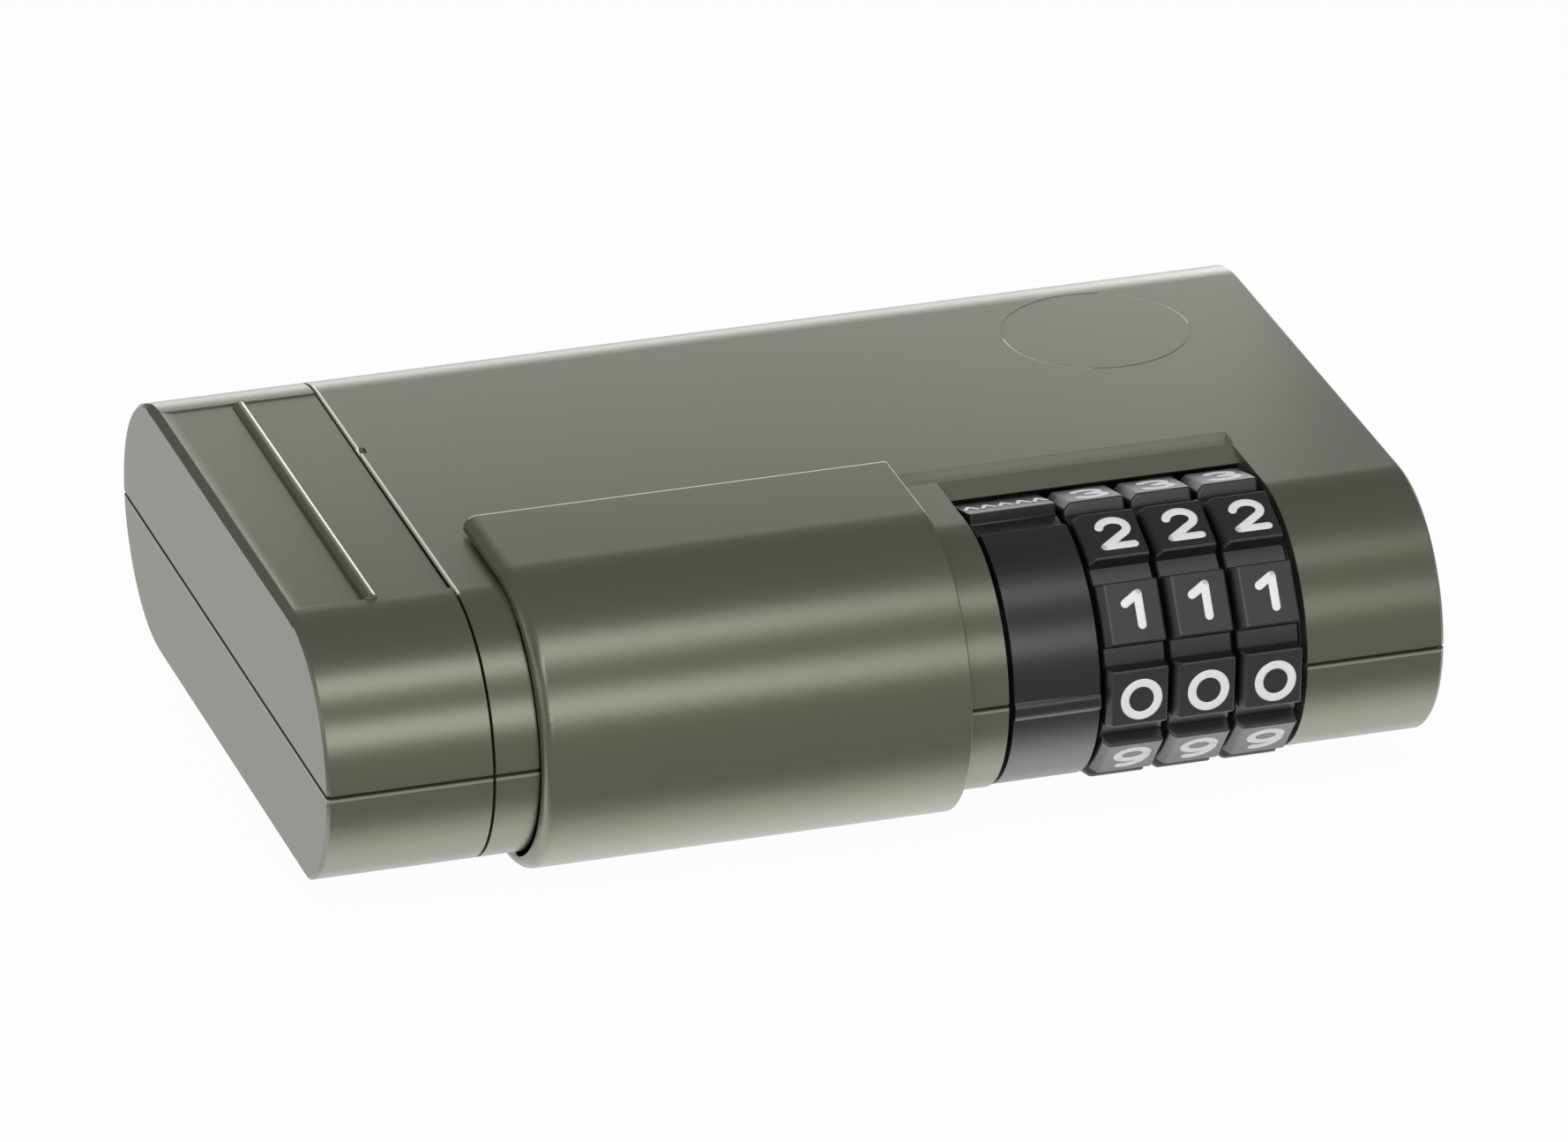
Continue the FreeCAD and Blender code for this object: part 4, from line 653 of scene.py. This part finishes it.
upper_piece = softened("upper_shell", EDGE_ROUND, "case_upper", keep_sharp=near_ring)
for vertex in upper_piece.data.vertices:
    if near_ring(vertex.co) and 0.1 * MM < RING_MIDDLE.z - vertex.co.z < 0.2 * MM:
        vertex.co.z = RING_MIDDLE.z - RING_DEPTH * MM
softened("lower_shell", EDGE_ROUND, "case_lower")
softened("drawer_cap", EDGE_ROUND, "case_plastic", reshape=wide_edge)
softened("drawer_tray", EDGE_ROUND, "case_lower")
softened("dial_cover", 0.25, "case_cover", reshape=wide_rim, exact=rim_normal)

# %% [markdown]
# ## The reset drum
#
# The drum left of the wheels is smooth, so that nobody takes it for a fourth number. A fingernail turns it by
# a raised tab at the top, and a ridge in front shows its place. Its section changes only with the angle, so
# it is drawn as one radius for each angle, and the closed line is extruded along the axle.

# %% The drum
DRUM_LEFT = 71.5
DRUM_LENGTH = 9.1
DRUM_BORE = 8.6
DRUM_RADIUS = 13.9
GROOVE_RADIUS = 13.25
TAB = (93.0, 117.0)
TAB_RADIUS = 14.5
RIDGE_ANGLE = -4.7
RIDGE_HALF_ANGLE = 3.9
RIDGE_HEIGHT = 0.45
ridge_line = [(RIDGE_ANGLE - RIDGE_HALF_ANGLE * math.cos(math.radians(step)),
               DRUM_RADIUS + RIDGE_HEIGHT * math.sin(math.radians(step))) for step in range(0, 181, 15)]
RADIUS_STOPS = ((-180.0, DRUM_RADIUS), *ridge_line, (79.0, DRUM_RADIUS), (81.0, GROOVE_RADIUS),
                (92.4, GROOVE_RADIUS), (93.0, TAB_RADIUS), (117.0, TAB_RADIUS), (117.6, DRUM_RADIUS),
                (180.0, DRUM_RADIUS))


def drum_radius(degrees):
    """The drum's radius at an angle, between the stops; the tab's face is flat."""
    if TAB[0] <= degrees <= TAB[1]:
        half = math.radians((TAB[1] - TAB[0]) / 2)
        return TAB_RADIUS * math.cos(half) / math.cos(math.radians(degrees - sum(TAB) / 2))
    for (low, near), (high, far) in zip(RADIUS_STOPS, RADIUS_STOPS[1:]):
        if low <= degrees <= high:
            return near + (far - near) * (degrees - low) / (high - low)


# %% Its mesh
DRUM_ROUND = 0.16
# edges nearer to the axle than this belong to the bore and stay sharp
SKIN_FROM = 12
angles = sorted({*range(-180, 180, 3), *(stop for stop, _ in RADIUS_STOPS[1:-1])})
work = bmesh.new()
loops = []
for x in (DRUM_LEFT, DRUM_LEFT + DRUM_LENGTH):
    outer = [work.verts.new(around_axle(x, drum_radius(angle), angle)) for angle in angles]
    inner = [work.verts.new(around_axle(x, DRUM_BORE, angle)) for angle in angles]
    loops.append((outer, inner))
(outer_left, inner_left), (outer_right, inner_right) = loops
for index in range(len(angles)):
    before = index - 1
    for one, other in ((outer_left, outer_right), (inner_left, inner_right), (outer_left, inner_left),
                       (outer_right, inner_right)):
        work.faces.new((one[before], one[index], other[index], other[before]))
bmesh.ops.recalc_face_normals(work, faces=work.faces)
edges = [edge for edge in work.edges if edge.calc_face_angle(0) > math.radians(30)
         and all((vertex.co - place(0, AXLE_Y, AXLE_Z)).yz.length > SKIN_FROM * MM for vertex in edge.verts)]
bmesh.ops.bevel(work, geom=edges, offset=DRUM_ROUND * MM, offset_type="OFFSET", segments=3, profile=0.5,
                affect="EDGES", clamp_overlap=True)
for face in work.faces:
    face.smooth = True
drum_mesh = bpy.data.meshes.new("drum")
work.to_mesh(drum_mesh)
work.free()
drum_mesh.set_sharp_from_angle(angle=math.radians(35))
drum_mesh.materials.append(dial_black)
drum_mesh = weighted(drum_mesh)
new_piece("drum", drum_mesh, "reset", "dial_black", "reset_drum")
print("drum:", len(drum_mesh.polygons), "faces")

# %% [markdown]
# ## The number wheels
#
# Each wheel is a ring with ten raised pads, so that a fingertip can turn it without looking. One pad is
# modelled once, with soft corners and a sloped left end. A Geometry Nodes tree sweeps a rounded rectangle
# around the axle for the ring and sets the pad ten times on it. The number of pads, the ring's radii and the
# first pad's angle are inputs of the tree, so the same tree would make a wheel of any size. Instances vanish
# in the export, so the tree ends in real geometry, and its result is turned into a plain mesh.

# %% One pad
PAD_HALF_ANGLE = 12
FACE = CREST * math.cos(math.radians(PAD_HALF_ANGLE))
FACE_HALF_ANGLE = math.radians(12.6)
ROOT_HALF_ANGLE = math.radians(14)
ROOT_SUNK = 1.25
PAD_ROOT = 12.9
PAD_SLOPE = 0.75
PAD_ROUND = 0.26
pad_mesh = bpy.data.meshes.new("pad")
work = bmesh.new()
root_half = (CREST - ROOT_SUNK) * math.sin(ROOT_HALF_ANGLE) + 0.05
face_half = CREST * math.sin(FACE_HALF_ANGLE)
outline = ((0.0, FACE - PAD_SLOPE), (PAD_SLOPE, FACE), (DIAL_WIDTH, FACE), (DIAL_WIDTH, PAD_ROOT),
           (0.0, PAD_ROOT))
rings = []
for side in (-1, 1):
    corners = [(x, side * (face_half if height > PAD_ROOT else root_half), height) for x, height in outline]
    rings.append([work.verts.new(Vector(corner) * MM) for corner in corners])
work.faces.new(rings[0])
work.faces.new(rings[1][::-1])
for index in range(len(outline)):
    following = (index + 1) % len(outline)
    work.faces.new((rings[1][index], rings[1][following], rings[0][following], rings[0][index]))
bmesh.ops.recalc_face_normals(work, faces=work.faces)
visible = [edge for edge in work.edges if any(vertex.co.z > (PAD_ROOT + 0.1) * MM for vertex in edge.verts)]
bmesh.ops.bevel(work, geom=visible, offset=PAD_ROUND * MM, offset_type="OFFSET", segments=4, profile=0.5,
                affect="EDGES", clamp_overlap=True)
for face in work.faces:
    face.smooth = True
work.to_mesh(pad_mesh)
work.free()
pad_mesh.set_sharp_from_angle(angle=math.radians(40))
pad_mesh = weighted(pad_mesh)
pad = bpy.data.objects.new("pad", pad_mesh)
scene.collection.objects.link(pad)
print("pad:", len(pad_mesh.polygons), "faces")


# %% Helpers for Geometry Nodes
def new_tree(name, inputs):
    """A geometry node tree with named inputs: {name: (socket type, default)}; returns tree, input, output."""
    tree = bpy.data.node_groups.new(name, "GeometryNodeTree")
    tree.interface.new_socket("Geometry", in_out="INPUT", socket_type="NodeSocketGeometry")
    tree.interface.new_socket("Geometry", in_out="OUTPUT", socket_type="NodeSocketGeometry")
    for label, (kind, default) in inputs.items():
        socket = tree.interface.new_socket(label, in_out="INPUT", socket_type=kind)
        if default is not None:
            socket.default_value = default
    return tree, tree.nodes.new("NodeGroupInput"), tree.nodes.new("NodeGroupOutput")


def value_node(tree, operation, first, second):
    """A Math node between two sockets or numbers."""
    node = add(tree, "ShaderNodeMath", operation=operation)
    for socket, value in zip(node.inputs, (first, second)):
        if isinstance(value, (int, float)):
            socket.default_value = value
        else:
            tree.links.new(value, socket)
    return node.outputs[0]


def run_tree(name, tree, values, start=None):
    """Run a tree as a modifier with these input values and return its result as a plain mesh."""
    holder = bpy.data.objects.new(name, start or bpy.data.meshes.new(name))
    scene.collection.objects.link(holder)
    modifier = holder.modifiers.new("nodes", "NODES")
    modifier.node_group = tree
    keys = {item.name: item.identifier for item in tree.interface.items_tree
            if item.item_type == "SOCKET" and item.in_out == "INPUT"}
    for label, value in values.items():
        modifier[keys[label]] = value
    bpy.context.view_layer.update()
    ready = holder.evaluated_get(bpy.context.evaluated_depsgraph_get())
    mesh = bpy.data.meshes.new_from_object(ready)
    mesh.name = name
    bpy.data.objects.remove(holder)
    return mesh


# %% The wheel's tree: its pads
wheel_tree, inputs, outputs = new_tree("number_wheel", {
    "Pad": ("NodeSocketObject", None),
    "Pads": ("NodeSocketInt", PADS),
    "First angle": ("NodeSocketFloat", 0.0),
    "Outer radius": ("NodeSocketFloat", 0.0133),
    "Inner radius": ("NodeSocketFloat", 0.009),
    "Width": ("NodeSocketFloat", 0.0065),
    "Finish": ("NodeSocketMaterial", None),
})
link = wheel_tree.links.new
one_pad = add(wheel_tree, "GeometryNodeObjectInfo")
link(inputs.outputs["Pad"], one_pad.inputs["Object"])
points = add(wheel_tree, "GeometryNodePoints")
link(inputs.outputs["Pads"], points.inputs["Count"])
index = add(wheel_tree, "GeometryNodeInputIndex")
share = value_node(wheel_tree, "DIVIDE", index.outputs[0], inputs.outputs["Pads"])
turned = value_node(wheel_tree, "MULTIPLY", share, 2 * math.pi)
angle = value_node(wheel_tree, "ADD", turned, inputs.outputs["First angle"])
rotation = add(wheel_tree, "ShaderNodeCombineXYZ")
link(angle, rotation.inputs["X"])
set_pads = add(wheel_tree, "GeometryNodeInstanceOnPoints")
link(points.outputs[0], set_pads.inputs["Points"])
link(one_pad.outputs["Geometry"], set_pads.inputs["Instance"])
link(rotation.outputs[0], set_pads.inputs["Rotation"])
print("inputs of the wheel's tree:", [socket.name for socket in inputs.outputs if socket.name])

# %% The wheel's tree: its ring
CORNER_ROUND = 0.15
outer_radius = inputs.outputs["Outer radius"]
inner_radius = inputs.outputs["Inner radius"]
both_radii = value_node(wheel_tree, "ADD", outer_radius, inner_radius)
middle_radius = value_node(wheel_tree, "MULTIPLY", both_radii, 0.5)
ring_height = value_node(wheel_tree, "SUBTRACT", outer_radius, inner_radius)
path = add(wheel_tree, "GeometryNodeCurvePrimitiveCircle")
path.inputs["Resolution"].default_value = 120
link(middle_radius, path.inputs["Radius"])
stand = add(wheel_tree, "GeometryNodeTransform")
stand.inputs["Rotation"].default_value = (0, math.pi / 2, 0)
link(path.outputs[0], stand.inputs["Geometry"])
section = add(wheel_tree, "GeometryNodeCurvePrimitiveQuadrilateral")
link(inputs.outputs["Width"], section.inputs["Width"])
link(ring_height, section.inputs["Height"])
corners = add(wheel_tree, "GeometryNodeFilletCurve")
corners.inputs["Radius"].default_value = CORNER_ROUND * MM
link(section.outputs[0], corners.inputs["Curve"])
ring = add(wheel_tree, "GeometryNodeCurveToMesh")
link(stand.outputs[0], ring.inputs["Curve"])
link(corners.outputs[0], ring.inputs["Profile Curve"])
beside = add(wheel_tree, "ShaderNodeCombineXYZ")
link(value_node(wheel_tree, "MULTIPLY", inputs.outputs["Width"], 0.5), beside.inputs["X"])
shift = add(wheel_tree, "GeometryNodeTransform")
link(ring.outputs[0], shift.inputs["Geometry"])
link(beside.outputs[0], shift.inputs["Translation"])
together = add(wheel_tree, "GeometryNodeJoinGeometry")
link(shift.outputs[0], together.inputs[0])
link(set_pads.outputs[0], together.inputs[0])
real = add(wheel_tree, "GeometryNodeRealizeInstances")
link(together.outputs[0], real.inputs[0])
finish = add(wheel_tree, "GeometryNodeSetMaterial")
link(real.outputs[0], finish.inputs["Geometry"])
link(inputs.outputs["Finish"], finish.inputs["Material"])
link(finish.outputs[0], outputs.inputs["Geometry"])
print("nodes of the wheel's tree:", len(wheel_tree.nodes))

# %% Three wheels
WHEEL_RADIUS = 13.3
WHEEL_BORE = 9.0
for number, left in enumerate(DIAL_LEFTS, start=1):
    mesh = run_tree(f"wheel_{number}", wheel_tree, {
        "Pad": pad,
        "Pads": PADS,
        "First angle": math.radians(90 + DIAL_TILT),
        "Outer radius": WHEEL_RADIUS * MM,
        "Inner radius": WHEEL_BORE * MM,
        "Width": DIAL_WIDTH * MM,
        "Finish": pad_black,
    })
    mesh.transform(Matrix.Translation(place(left, AXLE_Y, AXLE_Z)))
    mesh.set_sharp_from_angle(angle=math.radians(40))
    new_piece(f"number_wheel_{number}", mesh, f"wheel_{number}", "dial_black", f"dial_{number}")
    print(f"wheel {number}:", len(mesh.polygons), "faces")
bpy.data.objects.remove(pad)

# %% [markdown]
# ## The digits
#
# The digits are printed on the pads with a round pen, all strokes equally thick. A text object would bring
# its own letter shapes, and these are wider and rounder. So each digit is drawn as its middle line, a few
# points and arcs, and a second Geometry Nodes tree runs a flat round pen along it: a circle swept along the
# line, round caps on its ends, and the whole flattened to a thin layer of paint.

# %% Middle lines of the digits
PEN = 0.46


def arc(x, y, wide, tall, start, end, steps=20):
    """Points on an ellipse between two angles in degrees."""
    turns = [math.radians(start + (end - start) * step / steps) for step in range(steps + 1)]
    return [(x + wide * math.cos(turn), y + tall * math.sin(turn)) for turn in turns]


DIGIT_LINES = {
    0: [arc(0, 0, 1.75, 1.86, 90, 450, 48)[:-1]],
    1: [[(-0.95, 0.72), (0.5, 1.6)], [(0.5, 1.6), (0.5, -1.6)]],
    2: [[*arc(0, 0.68, 1.42, 1.08, 168, -40, 30), (-1.45, -1.75)], [(-1.45, -1.75), (1.6, -1.75)]],
    3: [arc(0, 0.87, 1.3, 0.88, 150, -88, 24), arc(0, -0.9, 1.5, 0.9, 88, -150, 28)],
    4: [[(0.7, -1.75), (0.7, 1.75)], [(0.7, 1.75), (-1.65, -0.8)], [(-1.65, -0.8), (1.6, -0.8)]],
    5: [[(1.3, 1.75), (-1.1, 1.75)], [(-1.1, 1.75), (-1.3, 0.15)], arc(0.0, -0.55, 1.5, 1.2, 140, -145, 30)],
    6: [arc(0.45, 0.0, 2.0, 1.75, 75, 180, 18), arc(0, -0.6, 1.55, 1.15, 180, -180, 40)],
    7: [[(-1.55, 1.75), (1.55, 1.75)], [(1.55, 1.75), (-0.45, -1.75)]],
    8: [arc(0, 0.88, 1.22, 0.87, -90, 270, 32)[:-1], arc(0, -0.88, 1.5, 0.89, 90, 450, 36)[:-1]],
    9: [arc(0, 0.6, 1.55, 1.15, 0, 360, 40), arc(-0.45, 0.0, 2.0, 1.75, 0, -105, 18)],
}
DIGIT_SHIFTS = {0: -0.25, 1: 0.2, 2: 0.1}
CLOSED_LINES = {0, 8}
print("digits:", sorted(DIGIT_LINES))

# %% The pen's tree
pen_tree, inputs, outputs = new_tree("round_pen", {
    "Pen radius": ("NodeSocketFloat", 0.0005),
    "Paint height": ("NodeSocketFloat", 0.1),
})
link = pen_tree.links.new
tip = add(pen_tree, "GeometryNodeCurvePrimitiveCircle")
tip.inputs["Resolution"].default_value = 12
link(inputs.outputs["Pen radius"], tip.inputs["Radius"])
stroke = add(pen_tree, "GeometryNodeCurveToMesh")
link(inputs.outputs["Geometry"], stroke.inputs["Curve"])
link(tip.outputs[0], stroke.inputs["Profile Curve"])
ball = add(pen_tree, "GeometryNodeMeshUVSphere")
ball.inputs["Segments"].default_value = 12
ball.inputs["Rings"].default_value = 8
link(inputs.outputs["Pen radius"], ball.inputs["Radius"])
ends = add(pen_tree, "GeometryNodeCurveEndpointSelection")
caps = add(pen_tree, "GeometryNodeInstanceOnPoints")
link(inputs.outputs["Geometry"], caps.inputs["Points"])
link(ends.outputs[0], caps.inputs["Selection"])
link(ball.outputs[0], caps.inputs["Instance"])
together = add(pen_tree, "GeometryNodeJoinGeometry")
link(stroke.outputs[0], together.inputs[0])
link(caps.outputs[0], together.inputs[0])
real = add(pen_tree, "GeometryNodeRealizeInstances")
link(together.outputs[0], real.inputs[0])
thin = add(pen_tree, "ShaderNodeCombineXYZ")
thin.inputs["X"].default_value = 1
thin.inputs["Y"].default_value = 1
link(inputs.outputs["Paint height"], thin.inputs["Z"])
flatten = add(pen_tree, "GeometryNodeTransform")
link(real.outputs[0], flatten.inputs["Geometry"])
link(thin.outputs[0], flatten.inputs["Scale"])
link(flatten.outputs[0], outputs.inputs["Geometry"])
print("nodes of the pen's tree:", len(pen_tree.nodes))


# %% Ten digits and a chevron, flat
def drawn(name, lines, pen, closed=False):
    """Lines drawn with the pen as a thin layer of paint around the origin, reading along X with Y up."""
    curve = bpy.data.curves.new(f"line_{name}", "CURVE")
    curve.dimensions = "3D"
    for line in lines:
        spline = curve.splines.new("POLY")
        spline.points.add(len(line) - 1)
        spline.use_cyclic_u = closed
        for point, (x, y) in zip(spline.points, line):
            point.co = (x * MM, y * MM, 0, 1)
    return run_tree(name, pen_tree, {"Pen radius": pen * MM, "Paint height": PAINT_HEIGHT / pen}, curve)


PAINT_HEIGHT = 0.05
CHEVRON = [[(-0.62, -0.9), (0, 0.7)], [(0, 0.7), (0.62, -0.9)]]
CHEVRON_PEN = 0.24
flat_digits = {number: drawn(f"digit_{number}", lines, PEN, number in CLOSED_LINES)
               for number, lines in DIGIT_LINES.items()}
flat_chevron = drawn("chevron", CHEVRON, CHEVRON_PEN)
print("faces of the digits:", [len(mesh.polygons) for mesh in flat_digits.values()])


# %% Paint on a wheel or drum
def painted(name, body, marks):
    """One piece from flat marks: each is (mesh, place along X, angle up from the front, radius, shift up)."""
    work = bmesh.new()
    for flat, x, degrees, radius, shift in marks:
        turn = math.radians(degrees)
        outward = Vector((0, -math.cos(turn), math.sin(turn)))
        upward = Vector((0, math.sin(turn), math.cos(turn)))
        middle = place(x, AXLE_Y, AXLE_Z) + (outward * radius + upward * shift) * MM
        axes = Matrix(((1, 0, 0), upward, outward)).transposed().to_4x4()
        copy = flat.copy()
        copy.transform(Matrix.Translation(middle) @ axes)
        work.from_mesh(copy)
        bpy.data.meshes.remove(copy)
    for face in work.faces:
        face.smooth = True
    mesh = bpy.data.meshes.new(name)
    work.to_mesh(mesh)
    work.free()
    mesh.materials.append(digit_white)
    return new_piece(name, mesh, body, "digit_white")


DIGIT_PLACE = 3.65
CHEVRONS = 5
for wheel, left in enumerate(DIAL_LEFTS, start=1):
    painted(f"digits_{wheel}", f"wheel_{wheel}", [
        (flat, left + DIGIT_PLACE, DIGIT_STEP * number - DIAL_TILT, FACE, DIGIT_SHIFTS.get(number, 0.0))
        for number, flat in flat_digits.items()])
tab_face = CREST * math.cos(math.radians((TAB[1] - TAB[0]) / 2))
painted("drum_chevrons", "reset", [
    (flat_chevron, DRUM_LEFT + DRUM_LENGTH * (index + 0.5) / CHEVRONS, sum(TAB) / 2, tab_face, 0.0)
    for index in range(CHEVRONS)])
for flat in (*flat_digits.values(), flat_chevron):
    bpy.data.meshes.remove(flat)
print("painted marks:", len(DIGIT_LINES) * len(DIAL_LEFTS) + CHEVRONS)
